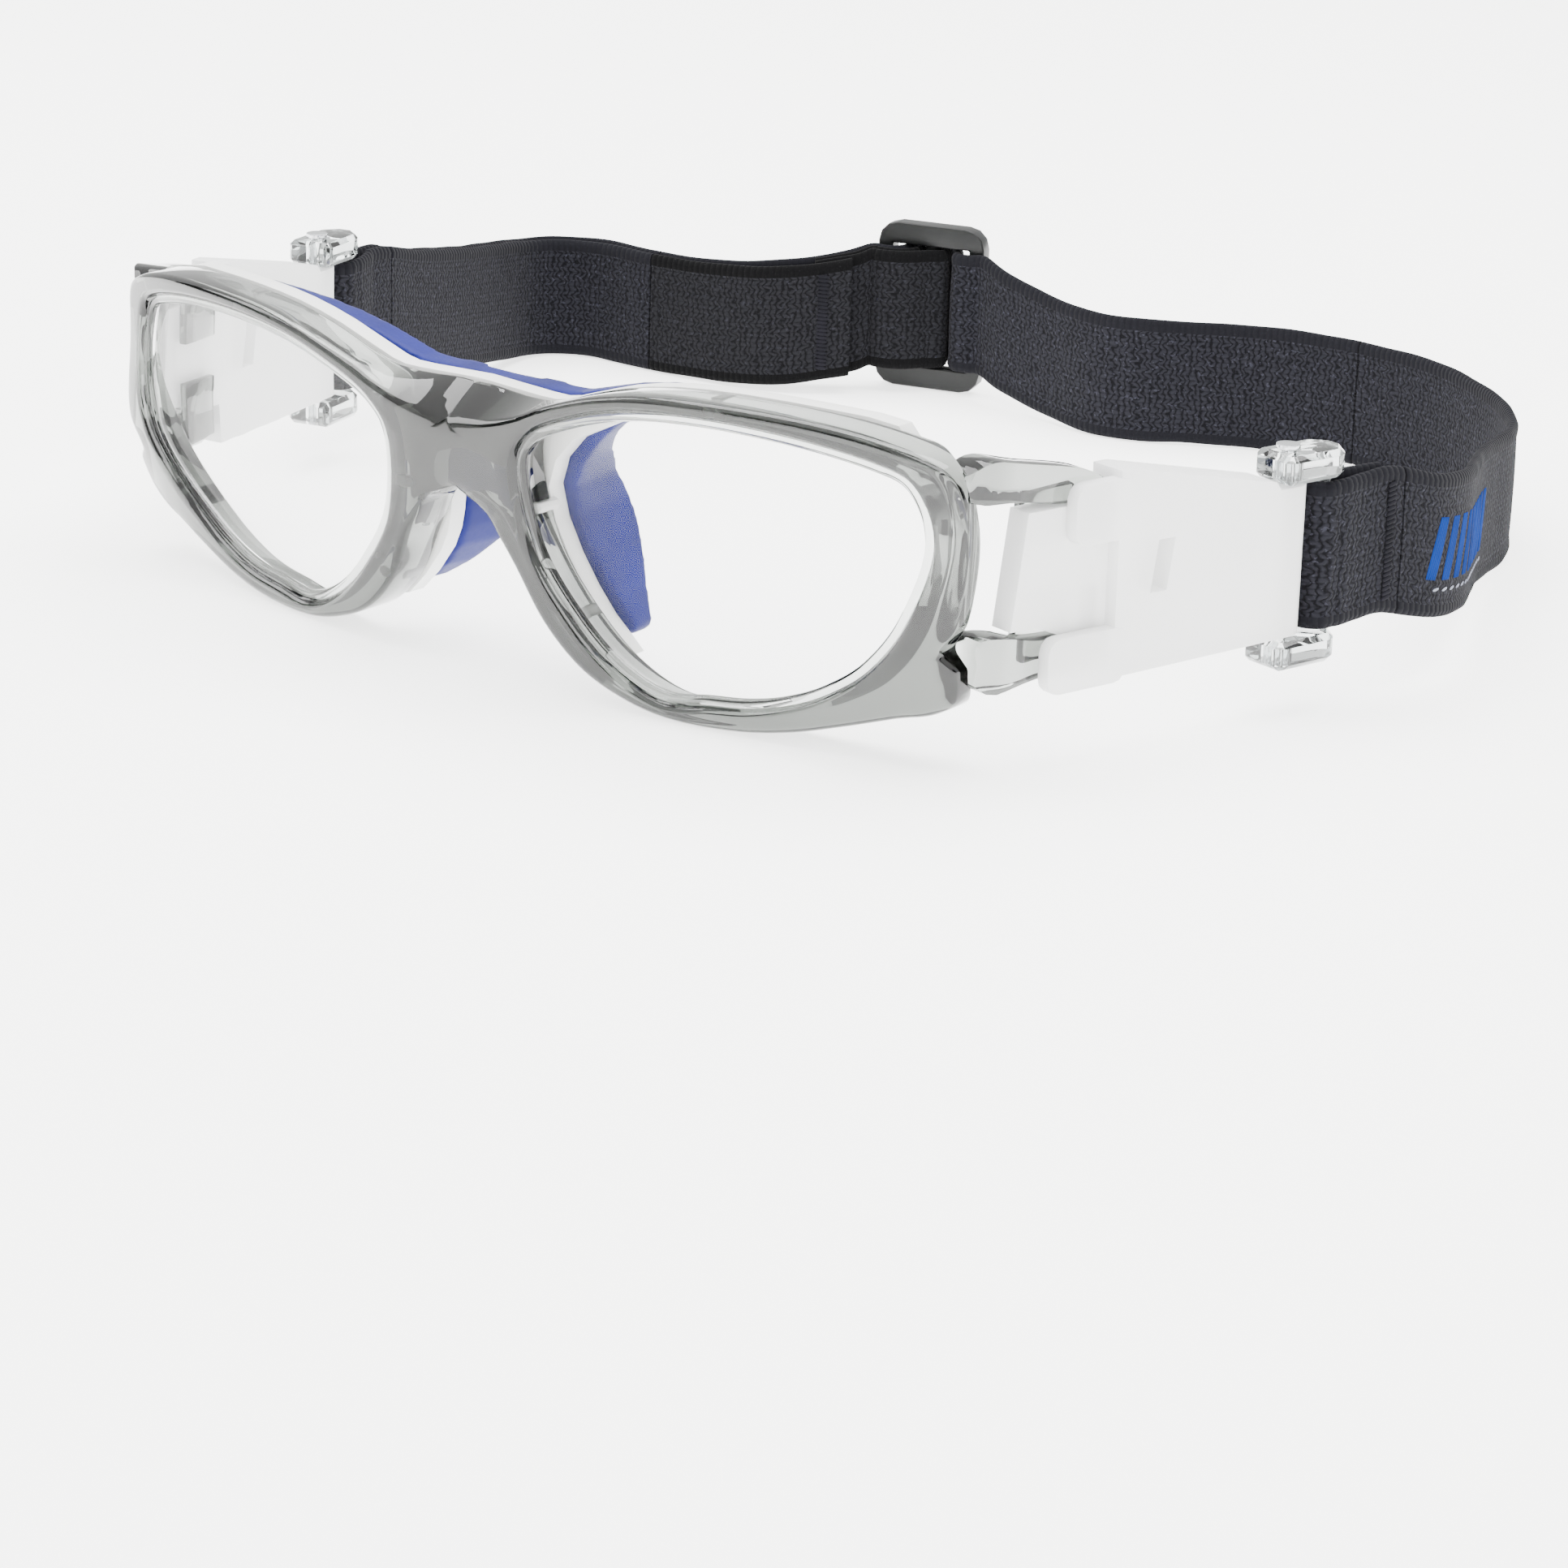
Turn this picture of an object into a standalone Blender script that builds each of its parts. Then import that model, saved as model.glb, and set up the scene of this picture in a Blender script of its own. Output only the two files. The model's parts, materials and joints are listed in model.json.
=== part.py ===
"""Sports protective goggles: clear front frame, lenses, soft liner, hinged temple pads and an elastic strap.

Frame of the model: +X is the wearer's left, -Y is forward, +Z is up, metres. The goggles are drawn about
their own mid-plane, and one parent empty then centres the finished object over its resting place.
"""
import math

import bmesh
import bpy
from mathutils import Matrix, Vector

MM = 0.001

# ---- clearances -------------------------------------------------------------------------------
GAP = 0.3 * MM              # between pieces that touch or are sewn together
PIN_PLAY = 0.3 * MM         # radial play of every hinge pin

# ---- lenses and front frame -------------------------------------------------------------------
LENS_WIDTH = 52.9 * MM      # lens opening, side to side
LENS_HEIGHT = 35.7 * MM     # lens opening, top to bottom
BRIDGE_GAP = 23.4 * MM      # between the two lens openings
RIM_TOP = 3.4 * MM          # rim wall above the lens opening
RIM_BOTTOM = 3.0 * MM       # rim wall below it
RIM_TEMPLE = 4.8 * MM       # rim wall at the temple side
FRAME_DEPTH = 7.0 * MM      # rim depth, front to back
TEMPLE_DEPTH = 2.8 * MM     # the same at the temple edge
WRAP = 0.2105               # sideways slope of the face surface at the lens centre
SAG = 4.27                  # curvature of the face surface, 1/m
LEAN = 0.1746               # forward lean of the face surface
TEMPLE_BULGE = 3.0 * MM     # how far the temple edge bows forward at half height
BRIDGE_DROP = 6.0 * MM      # front top edge of the bridge below the top of the lens openings
ARCH_RISE = 5.8 * MM        # top of the nose arch above the lens centres
BRIDGE_RISE = 4.6 * MM      # how much higher the bridge is at its back than at its front
LENS_THICKNESS = 1.8 * MM
LENS_SETBACK = 1.9 * MM     # from the front of the rim to the lens seat
LENS_LIP = 1.0 * MM         # overlap of the lens behind the opening's edge

# ---- prongs that carry the temple pads ----------------------------------------------------------
PRONG_THICKNESS = 3.0 * MM
UPPER_PRONG_HEIGHT = 4.0 * MM
UPPER_PRONG_DROP = 2.7 * MM     # top of the upper prong below the top of the lens opening
LOWER_PRONG_HEIGHT = 3.9 * MM
LOWER_PRONG_RISE = 12.7 * MM    # top of the lower prong above the bottom of the lens opening
HINGE_BACK = 18.9 * MM      # hinge axis behind the temple edge of the rim
HINGE_OUT = 4.3 * MM        # hinge axis outside that edge
PIN_RADIUS = 0.9 * MM
PIN_LENGTH = 5.2 * MM
LUG_LENGTH = 7.0 * MM
LUG_DROP = 5.4 * MM
LUG_THICKNESS = 1.2 * MM
PRONG_FLARE = 0.7           # inward spread of the lower prong's root, for each mm forward
PRONG_SUNK = 0.8 * MM       # lower prong's root behind the rim's front
FLARE_START = 11.0 * MM     # from the hinge axis to where that spread starts

# ---- liner behind the frame ---------------------------------------------------------------------
CARRIER_DEPTH = 2.6 * MM
CARRIER_HEIGHT = 3.4 * MM
LINER_DEPTH = 3.0 * MM
WING_DEPTH = 8.5 * MM       # how far the nose wings reach back beyond the liner
PEG_RADIUS = 0.8 * MM
PEG_LENGTH = 2.6 * MM

# ---- temple pads --------------------------------------------------------------------------------
SPLAY = math.radians(13.8)  # outward angle of the temple pads
PAD_LENGTH = 31.0 * MM      # hinge axis to buckle axis
PAD_THICKNESS = 5.2 * MM
TONGUE_LENGTH = 11.2 * MM
TONGUE_THICKNESS = 3.4 * MM
EAR_THICKNESS = 1.8 * MM
PAD_TOP_STEP = 0.6 * MM     # pad's front top edge below the top of the upper prong
PAD_DROP = 1.7 * MM         # pad's bottom edge below the lower prong
SLOT_WIDTH = 2.6 * MM
SLOT_HEIGHT = 6.4 * MM

# ---- buckles ------------------------------------------------------------------------------------
BLOCK_HEIGHT = 3.6 * MM
BLOCK_WIDTH = 6.6 * MM
BAR_SPACING = 5.9 * MM      # buckle axis to strap bar
BAR_RADIUS = 1.2 * MM
BUCKLE_PIN_RADIUS = 0.9 * MM

# ---- strap and slider ---------------------------------------------------------------------------
STRAP_WIDTH = 18.8 * MM
STRAP_THICKNESS = 1.6 * MM
STRAP_PLAY = 0.2 * MM       # strap edge to each buckle block
LOOP_THICKNESS = 1.3 * MM
SEAM_BEHIND = 13.0 * MM     # end of the sewn loop behind the left buckle bar
HEM_BEHIND = 4.0 * MM       # hem's raw end behind the slider
HEM_PAST = 0.5 * MM         # start of the hem past the split of the layer outside it
TACK_BACK = 3.2 * MM
TACK_THICKNESS = 0.5 * MM   # stitched bar across the strap
TACK_LENGTH = 1.2 * MM
TACK_MARGIN = 1.8 * MM      # bare webbing above and below the stitches
SLIDER_LENGTH = 17.6 * MM
SLIDER_THICKNESS = 2.8 * MM
SLIDER_RAIL = 3.4 * MM      # top and bottom rails of the slider
SLIDER_END_BAR = 2.4 * MM
SLIDER_BAR_RADIUS = 1.3 * MM

# ---- derived places -----------------------------------------------------------------------------
LENS_X = BRIDGE_GAP / 2 + LENS_WIDTH / 2
LENS_LOW = RIM_BOTTOM
LENS_Z = LENS_LOW + 0.436 * LENS_HEIGHT
LENS_TOP = LENS_LOW + LENS_HEIGHT
TEMPLE_X = BRIDGE_GAP / 2 + LENS_WIDTH + RIM_TEMPLE
UPPER_PRONG_TOP = LENS_TOP - UPPER_PRONG_DROP
UPPER_PRONG_UNDER = UPPER_PRONG_TOP - UPPER_PRONG_HEIGHT
LOWER_PRONG_TOP = LENS_LOW + LOWER_PRONG_RISE
LOWER_PRONG_UNDER = LOWER_PRONG_TOP - LOWER_PRONG_HEIGHT
PAD_FRONT_TOP = UPPER_PRONG_TOP - PAD_TOP_STEP
PAD_BOTTOM = LOWER_PRONG_UNDER - PAD_DROP
STRAP_LOW = PAD_BOTTOM + STRAP_PLAY
PAD_REAR_TOP = PAD_BOTTOM + STRAP_WIDTH + 2 * STRAP_PLAY
FACE_FLAT_X = 13.0 * MM     # the face surface runs straight across the bridge inside this
BULGE_Z = LENS_LOW + 0.41 * LENS_HEIGHT         # height where the temple edge bows out most
BULGE_REACH = 0.27 * LENS_HEIGHT                # how far above and below that the bow fades

# Lens opening: each point is a share of the opening's width and height from its nasal, lower corner.
LENS_OUTLINE = [(0.00, 0.70), (0.03, 0.44), (0.125, 0.23), (0.225, 0.09), (0.34, 0.015), (0.46, 0.03),
                (0.56, 0.045), (0.65, 0.08), (0.745, 0.145), (0.85, 0.26), (0.945, 0.44), (0.995, 0.68),
                (0.965, 0.86), (0.895, 0.925), (0.715, 0.98), (0.50, 1.00), (0.30, 0.975), (0.135, 0.90),
                (0.04, 0.82)]

# Outer edge of one half of the frame, bridge top to bridge bottom: (share of the lens width, share of
# its height, then mm sideways, mm up from there).
RIM_OUTLINE = [(0.00, 1.00, 0.0, -3.0), (0.09, 1.00, 0.0, -0.8), (0.22, 1.00, 0.0, 1.5),
               (0.37, 1.00, 0.0, 3.0), (0.54, 1.00, 0.0, 3.4), (0.73, 1.00, 0.0, 3.0),
               (0.88, 1.00, 0.0, 1.9), (0.985, 1.00, 1.0, 0.0), (1.00, 0.93, 3.6, 0.0),
               (1.00, 0.78, 4.8, 0.0), (1.00, 0.60, 5.0, 0.0), (1.00, 0.44, 4.2, 0.0),
               (0.985, 0.335, 2.6, 0.0), (1.00, 0.275, 3.4, 0.0), (1.00, 0.17, 2.6, -0.3),
               (0.97, 0.11, 1.0, -0.5), (0.90, 0.09, 0.5, -0.9),
               (0.79, 0.05, 0.0, -1.5), (0.66, 0.02, 0.0, -2.4), (0.53, 0.00, 0.0, -2.8),
               (0.37, 0.00, 0.0, -3.0), (0.25, 0.02, 0.0, -2.6), (0.13, 0.09, -0.4, -2.2),
               (0.04, 0.21, -1.0, -1.4), (0.00, 0.35, -2.6, 0.0), (0.00, 0.44, -4.6, 0.0)]
BRIDGE_TOP = [(0.0, LENS_TOP - BRIDGE_DROP), (0.26 * BRIDGE_GAP, LENS_TOP - BRIDGE_DROP + 1.1 * MM)]
BRIDGE_ARCH = [(0.2 * BRIDGE_GAP, LENS_Z + ARCH_RISE - 2.2 * MM), (0.0, LENS_Z + ARCH_RISE)]

# Route of the strap's lower edge behind the buckles, seen from above: (share of the buckle bar's distance
# from the mid-plane, mm behind the bar, share of the strap's height at the bar).
ROUTE_LEFT = [(1.064, 19.6, 0.77), (1.044, 29.1, 0.62), (0.990, 39.1, 0.47), (0.934, 49.1, 0.33),
              (0.891, 59.1, 0.21), (0.855, 68.6, 0.12), (0.792, 78.6, 0.05), (0.678, 89.6, 0.01),
              (0.516, 98.6, 0.00), (0.330, 102.1, 0.00), (0.162, 100.1, 0.00), (0.042, 95.1, 0.00),
              (-0.042, 90.7, 0.00), (-0.132, 89.1, 0.00), (-0.240, 90.7, 0.06), (-0.366, 92.7, 0.23)]
ROUTE_RIGHT = [(-0.684, 85.9, 0.25), (-0.768, 79.9, 0.10), (-0.870, 75.1, 0.02), (-1.008, 73.7, 0.00),
               (-1.146, 73.7, 0.00), (-1.236, 70.1, 0.00), (-1.263, 63.1, 0.03), (-1.224, 51.6, 0.18),
               (-1.164, 38.6, 0.40), (-1.102, 24.6, 0.66)]
SLIDER_SHARE, SLIDER_BEHIND = -0.549, 94.3 * MM
BACK_SPLIT = 9              # points of the two routes where the strap's stretches part
FED_SPLIT = 3
SLIDER_HEADING = math.radians(195.4)    # direction of the strap through the slider

COLORS = {
    "smoke": (0.30, 0.32, 0.31, 1.0),
    "clear": (0.80, 0.82, 0.82, 1.0),
    "white": (0.85, 0.85, 0.84, 1.0),
    "blue": (0.04, 0.06, 0.36, 1.0),
    "frost": (0.82, 0.82, 0.81, 1.0),
    "web": (0.035, 0.035, 0.045, 1.0),
    "black": (0.012, 0.012, 0.012, 1.0),
    "steel": (0.70, 0.70, 0.70, 1.0),
    "thread": (0.10, 0.10, 0.13, 1.0),
}
FINISH = {                  # roughness, metallic
    "smoke": (0.12, 0.0),
    "clear": (0.08, 0.0),
    "white": (0.35, 0.0),
    "blue": (0.55, 0.0),
    "frost": (0.60, 0.0),
    "web": (0.90, 0.0),
    "black": (0.35, 0.0),
    "steel": (0.25, 1.0),
    "thread": (0.80, 0.0),
}

for old in list(bpy.data.objects):
    bpy.data.objects.remove(old, do_unlink=True)

parts = bpy.data.collections.new("sports_goggles")
tools = bpy.data.collections.new("cutters")
bpy.context.scene.collection.children.link(parts)
bpy.context.scene.collection.children.link(tools)


# ---- small helpers --------------------------------------------------------------------------------
def material(name):
    """Return the Principled material of that name, making it the first time."""
    found = bpy.data.materials.get(name)
    if found:
        return found
    made = bpy.data.materials.new(name)
    made.use_nodes = True
    shader = made.node_tree.nodes["Principled BSDF"]
    shader.inputs["Base Color"].default_value = COLORS[name]
    shader.inputs["Roughness"].default_value, shader.inputs["Metallic"].default_value = FINISH[name]
    return made


def new_object(name, mesh, finish=None):
    """Link a mesh as an object: a part when it has a finish, otherwise a hidden cutter."""
    obj = bpy.data.objects.new(name, mesh)
    if finish is None:
        obj.hide_render = True
        obj.display_type = "WIRE"
        tools.objects.link(obj)
        return obj
    parts.objects.link(obj)
    obj.data.materials.clear()
    obj.data.materials.append(material(finish))
    return obj


def baked(obj):
    """Replace the object's mesh by its evaluated one, with its modifiers applied."""
    bpy.context.view_layer.update()
    graph = bpy.context.evaluated_depsgraph_get()
    mesh = bpy.data.meshes.new_from_object(obj.evaluated_get(graph))
    obj.modifiers.clear()
    obj.data = mesh
    return obj


def edit(obj, work):
    """Run work(bm) on the object's mesh."""
    bm = bmesh.new()
    bm.from_mesh(obj.data)
    work(bm)
    bm.to_mesh(obj.data)
    bm.free()
    return obj


def smooth_loop(points, steps=4, closed=True):
    """Return a Catmull-Rom curve through the points, as tuples with any number of coordinates."""
    count = len(points)
    pts = [Vector(p) for p in points]
    spans = count if closed else count - 1
    curve = []
    for i in range(spans):
        if closed:
            p0, p1, p2, p3 = (pts[(i + k - 1) % count] for k in range(4))
        else:
            p0, p1, p2, p3 = (pts[min(max(i + k - 1, 0), count - 1)] for k in range(4))
        for j in range(steps):
            t = j / steps
            curve.append(0.5 * ((2 * p1) + (p2 - p0) * t + (2 * p0 - 5 * p1 + 4 * p2 - p3) * t ** 2
                                + (3 * p1 - p0 - 3 * p2 + p3) * t ** 3))
    if not closed:
        curve.append(pts[-1])
    return curve


def arc(cx, cz, radius, start, end, count):
    """Return points on a circular arc, angles in degrees."""
    turns = [math.radians(start + (end - start) * i / (count - 1)) for i in range(count)]
    return [(cx + radius * math.cos(a), cz + radius * math.sin(a)) for a in turns]


def prism(name, loops, low, high, finish=None, upright=True):
    """Extrude flat outlines (the second and later ones are holes), standing along Y or lying along Z."""
    curve = bpy.data.curves.new(name, "CURVE")
    curve.dimensions = "2D"
    curve.fill_mode = "BOTH"
    curve.extrude = (high - low) / 2
    for loop in loops:
        spline = curve.splines.new("POLY")
        spline.points.add(len(loop) - 1)
        for point, place in zip(spline.points, loop):
            point.co = (place[0], place[1], 0.0, 1.0)
        spline.use_cyclic_u = True
    shape = bpy.data.objects.new(name + "_curve", curve)
    tools.objects.link(shape)
    bpy.context.view_layer.update()
    mesh = bpy.data.meshes.new_from_object(shape.evaluated_get(bpy.context.evaluated_depsgraph_get()))
    bpy.data.objects.remove(shape, do_unlink=True)
    obj = new_object(name, mesh, finish)
    middle = (low + high) / 2
    turn = Matrix.Rotation(math.radians(90), 4, "X") if upright else Matrix.Identity(4)
    shift = Matrix.Translation((0.0, middle, 0.0) if upright else (0.0, 0.0, middle))

    def clean(bm):
        bmesh.ops.remove_doubles(bm, verts=bm.verts, dist=0.00001)
        bmesh.ops.transform(bm, matrix=shift @ turn, verts=bm.verts)
        bmesh.ops.recalc_face_normals(bm, faces=bm.faces)
    return edit(obj, clean)


def rod(name, place, radius, low, high, finish=None, sides=20):
    """Return an upright cylinder."""
    mesh = bpy.data.meshes.new(name)
    obj = new_object(name, mesh, finish)

    def fill(bm):
        middle = Matrix.Translation((place[0], place[1], (low + high) / 2))
        bmesh.ops.create_cone(bm, cap_ends=True, segments=sides, radius1=radius, radius2=radius,
                              depth=high - low, matrix=middle)
    return edit(obj, fill)


def block(name, low, high, finish=None):
    """Return a box between two corners."""
    mesh = bpy.data.meshes.new(name)
    obj = new_object(name, mesh, finish)
    size = [h - l for l, h in zip(low, high)]
    middle = [(l + h) / 2 for l, h in zip(low, high)]

    def fill(bm):
        bmesh.ops.create_cube(bm, size=1.0, matrix=Matrix.Translation(middle) @ Matrix.Diagonal((*size, 1.0)))
    return edit(obj, fill)


def combine(target, other, operation):
    """Boolean the other object into the target and drop the other one."""
    step = target.modifiers.new(operation.lower(), "BOOLEAN")
    step.operation = operation
    step.solver = "EXACT"
    step.object = other
    baked(target)
    bpy.data.objects.remove(other, do_unlink=True)
    return target


def soften(obj, width, angle=35.0, segments=2):
    """Round the object's sharp edges."""
    step = obj.modifiers.new("edge_round", "BEVEL")
    step.width = width
    step.segments = segments
    step.limit_method = "ANGLE"
    step.angle_limit = math.radians(angle)
    return baked(obj)


def sliced(obj, *cuts):
    """Cut the mesh's faces by parallel planes, so that it can bend; each cut is (axis number, spacing)."""
    def slice_all(bm):
        for axis, spacing in cuts:
            low = min(v.co[axis] for v in bm.verts)
            high = max(v.co[axis] for v in bm.verts)
            normal = Vector([float(axis == i) for i in range(3)])
            for i in range(1, int((high - low) / spacing) + 1):
                every = list(bm.verts) + list(bm.edges) + list(bm.faces)
                bmesh.ops.bisect_plane(bm, geom=every, dist=0.000001, plane_co=normal * (low + i * spacing),
                                       plane_no=normal)
        bmesh.ops.triangulate(bm, faces=bm.faces)
    return edit(obj, slice_all)


def moved(obj, rule):
    """Move every vertex by rule(co) -> new place."""
    for vertex in obj.data.vertices:
        vertex.co = rule(vertex.co)
    return obj


def mirrored(obj, name, finish):
    """Return a copy of the object on the other side of the mid-plane."""
    mesh = obj.data.copy()
    mesh.transform(Matrix.Diagonal((-1.0, 1.0, 1.0, 1.0)))
    mesh.flip_normals()
    other = new_object(name, mesh, finish)
    other.location = (-obj.location.x, obj.location.y, obj.location.z)
    other.rotation_euler.z = -obj.rotation_euler.z
    return other


def ease(t):
    """Return a smooth 0..1 step."""
    t = min(max(t, 0.0), 1.0)
    return t * t * (3 - 2 * t)


def face_y(x, z):
    """Return where the curved face surface lies in Y at that place."""
    u = max(abs(x), FACE_FLAT_X) - LENS_X
    bow = ease(u / (LENS_WIDTH / 2 + RIM_TEMPLE)) * math.exp(-((z - BULGE_Z) / BULGE_REACH) ** 2)
    return WRAP * u + SAG * u * u - LEAN * (z - LENS_Z) - TEMPLE_BULGE * bow


def on_face(co):
    """Bend a flat solid onto the face surface."""
    return Vector((co.x, co.y + face_y(co.x, co.z), co.z))


def lens_point(share_x, share_z, dx=0.0, dz=0.0):
    """Return a point by its share of the lens opening plus an offset in mm."""
    return (BRIDGE_GAP / 2 + share_x * LENS_WIDTH + dx * MM, LENS_LOW + share_z * LENS_HEIGHT + dz * MM)


def grown(loop, distance):
    """Return a closed outline moved outward by a distance."""
    count = len(loop)
    pairs = zip(loop, loop[1:] + loop[:1])
    area = sum(here[0] * after[1] - after[0] * here[1] for here, after in pairs)
    side = 1.0 if area > 0 else -1.0
    out = []
    for i in range(count):
        run = Vector(loop[(i + 1) % count][:2]) - Vector(loop[i - 1][:2])
        normal = Vector((run.y, -run.x)).normalized() * side
        out.append((loop[i][0] + normal.x * distance, loop[i][1] + normal.y * distance))
    return out


def lens_loop(distance=0.0, steps=2):
    """Return the lens opening's outline, grown by a distance."""
    return grown([tuple(p) for p in smooth_loop([lens_point(*p) for p in LENS_OUTLINE], steps)], distance)


# ---- front frame ------------------------------------------------------------------------------------
HINGE = Vector((TEMPLE_X + HINGE_OUT, HINGE_BACK + face_y(TEMPLE_X, 0.55 * LENS_TOP)))
REACH = 1.5 * HINGE_BACK            # plan cutters reach this far in front of the hinge axis


def rim_point(share_x, share_z, dx, dz):
    """Return a point of the rim's outer edge, its offsets scaled by the named rim walls."""
    up = RIM_TOP / (3.4 * MM) if share_z > 0.5 else RIM_BOTTOM / (3.0 * MM)
    out = RIM_TEMPLE / (4.8 * MM) if share_x > 0.5 else 1.0
    return lens_point(share_x, share_z, dx * out, dz * up)


def rim_loop():
    """Return the outline of the frame's left half, closed along the mid-plane."""
    outer = [rim_point(*point) for point in RIM_OUTLINE]
    return [tuple(p) for p in smooth_loop(BRIDGE_TOP + outer + BRIDGE_ARCH, 2, closed=False)]


def frame_bend(co):
    """Bend the rim solid onto the face: thinner at the temples, and a bridge whose top climbs to the back."""
    outer = ease((co.x - 0.97 * (TEMPLE_X - RIM_TEMPLE)) / (0.09 * TEMPLE_X))
    depth_scale = 1.0 - outer * (1.0 - TEMPLE_DEPTH / FRAME_DEPTH)
    back = co.y / FRAME_DEPTH
    near_bridge = 1.0 - ease(co.x / (0.75 * BRIDGE_GAP))
    above = ease((co.z - BRIDGE_ARCH[-1][1]) / (BRIDGE_TOP[0][1] - BRIDGE_ARCH[-1][1]))
    z = co.z + BRIDGE_RISE * back * near_bridge * above
    return Vector((co.x, co.y * depth_scale + face_y(co.x, z), z))


def peg_places():
    """Return the liner pegs' places on the left half (x, z)."""
    return [lens_point(0.50, 1.00, 0.0, 1.5),
            lens_point(0.02, 0.56, -2.4, 0.0),
            lens_point(0.12, 0.19, -2.6, 0.0)]


def temple_frame(obj):
    """Place a solid drawn about the hinge axis (a along Y, b along X) in the left temple's position."""
    obj.location = (HINGE.x, HINGE.y, 0.0)
    obj.rotation_euler.z = -SPLAY
    return obj


def set_down(obj):
    """Write the object's place into its mesh."""
    bpy.context.view_layer.update()
    obj.data.transform(obj.matrix_world)
    obj.matrix_world = Matrix.Identity(4)
    return obj


def side_prism(name, outline, low, high, finish=None):
    """Extrude a side view (a along Y, z) across the temple, from b = low to b = high."""
    obj = prism(name, [outline], -high, -low, finish)
    turned = Matrix.Rotation(math.radians(90), 4, "Z")
    obj.data.transform(turned)
    return obj


def two_sided(obj):
    """Open a half on the mid-plane and mirror it across."""
    def open_plane(bm):
        flat = [f for f in bm.faces if all(abs(v.co.x) < 0.000002 for v in f.verts)]
        bmesh.ops.delete(bm, geom=flat, context="FACES_ONLY")
        loose = [e for e in bm.edges if not e.link_faces]
        bmesh.ops.delete(bm, geom=loose, context="EDGES")
        for vertex in bm.verts:
            if abs(vertex.co.x) < 0.000002:
                vertex.co.x = 0.0
    edit(obj, open_plane)
    both = obj.modifiers.new("other_half", "MIRROR")
    both.use_axis[0] = True
    both.merge_threshold = 0.00001
    return baked(obj)


def prong(name, side_outline, flare, pin_span, lug_span, root_span):
    """Return one prong with its hinge pin and inner lug, about the hinge axis; spans are (low, high)."""
    half = PRONG_THICKNESS / 2
    spread = flare * (REACH - FLARE_START)
    arm = side_prism(name, side_outline, -half - spread, half)
    knuckle = [(-half, -FLARE_START), (-half - spread, -REACH), (half, -REACH)]
    knuckle += arc(0.0, 0.0, half, 0, 180, 9)
    low = min(z for _, z in side_outline) - MM
    high = max(z for _, z in side_outline) + MM
    combine(arm, prism(name + "_plan", [knuckle], low, high, upright=False), "INTERSECT")
    soften(arm, 0.5 * MM, 40.0, 1)
    combine(arm, rod(name + "_pin", (0.0, 0.0), PIN_RADIUS, *pin_span), "UNION")
    outer = -TONGUE_THICKNESS / 2 - GAP
    inner = outer - LUG_THICKNESS
    front, back = -2.0 * MM - LUG_LENGTH, -2.0 * MM
    lug = block(name + "_lug", (inner, front, lug_span[0]), (outer, back, lug_span[1]))
    root = block(name + "_root", (inner, front, root_span[0]), (-half + 0.4 * MM, back, root_span[1]))
    combine(lug, root, "UNION")
    return combine(arm, lug, "UNION")


def rim_reach(z):
    """Return how far in front of the hinge axis the rim's temple edge lies at a height."""
    return HINGE.y - face_y(TEMPLE_X, z)


def prong_sides():
    """Return the side views (a, z) of the upper and the lower prong."""
    tip = PRONG_THICKNESS / 2 + 0.1 * MM
    root = -rim_reach(UPPER_PRONG_UNDER)
    low_root = PRONG_SUNK - rim_reach(LOWER_PRONG_UNDER)
    upper = [(root + 2.5 * MM, UPPER_PRONG_TOP + 2.6 * MM), (root, UPPER_PRONG_TOP + 0.6 * MM),
             (root, UPPER_PRONG_UNDER + 1.6 * MM),
             (-13 * MM, UPPER_PRONG_UNDER + 1.4 * MM), (-6 * MM, UPPER_PRONG_UNDER), (tip, UPPER_PRONG_UNDER),
             (tip, UPPER_PRONG_TOP - 2.0 * MM), (-2.4 * MM, UPPER_PRONG_TOP),
             (-12 * MM, UPPER_PRONG_TOP + 1.8 * MM)]
    lower = [(low_root, LOWER_PRONG_TOP + 0.9 * MM), (low_root, LOWER_PRONG_UNDER - 2.4 * MM),
             (-10 * MM, LOWER_PRONG_UNDER - 0.6 * MM), (tip, LOWER_PRONG_UNDER), (tip, LOWER_PRONG_TOP),
             (-8 * MM, LOWER_PRONG_TOP), (-13 * MM, LOWER_PRONG_TOP + 1.6 * MM)]
    return upper, lower


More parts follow.
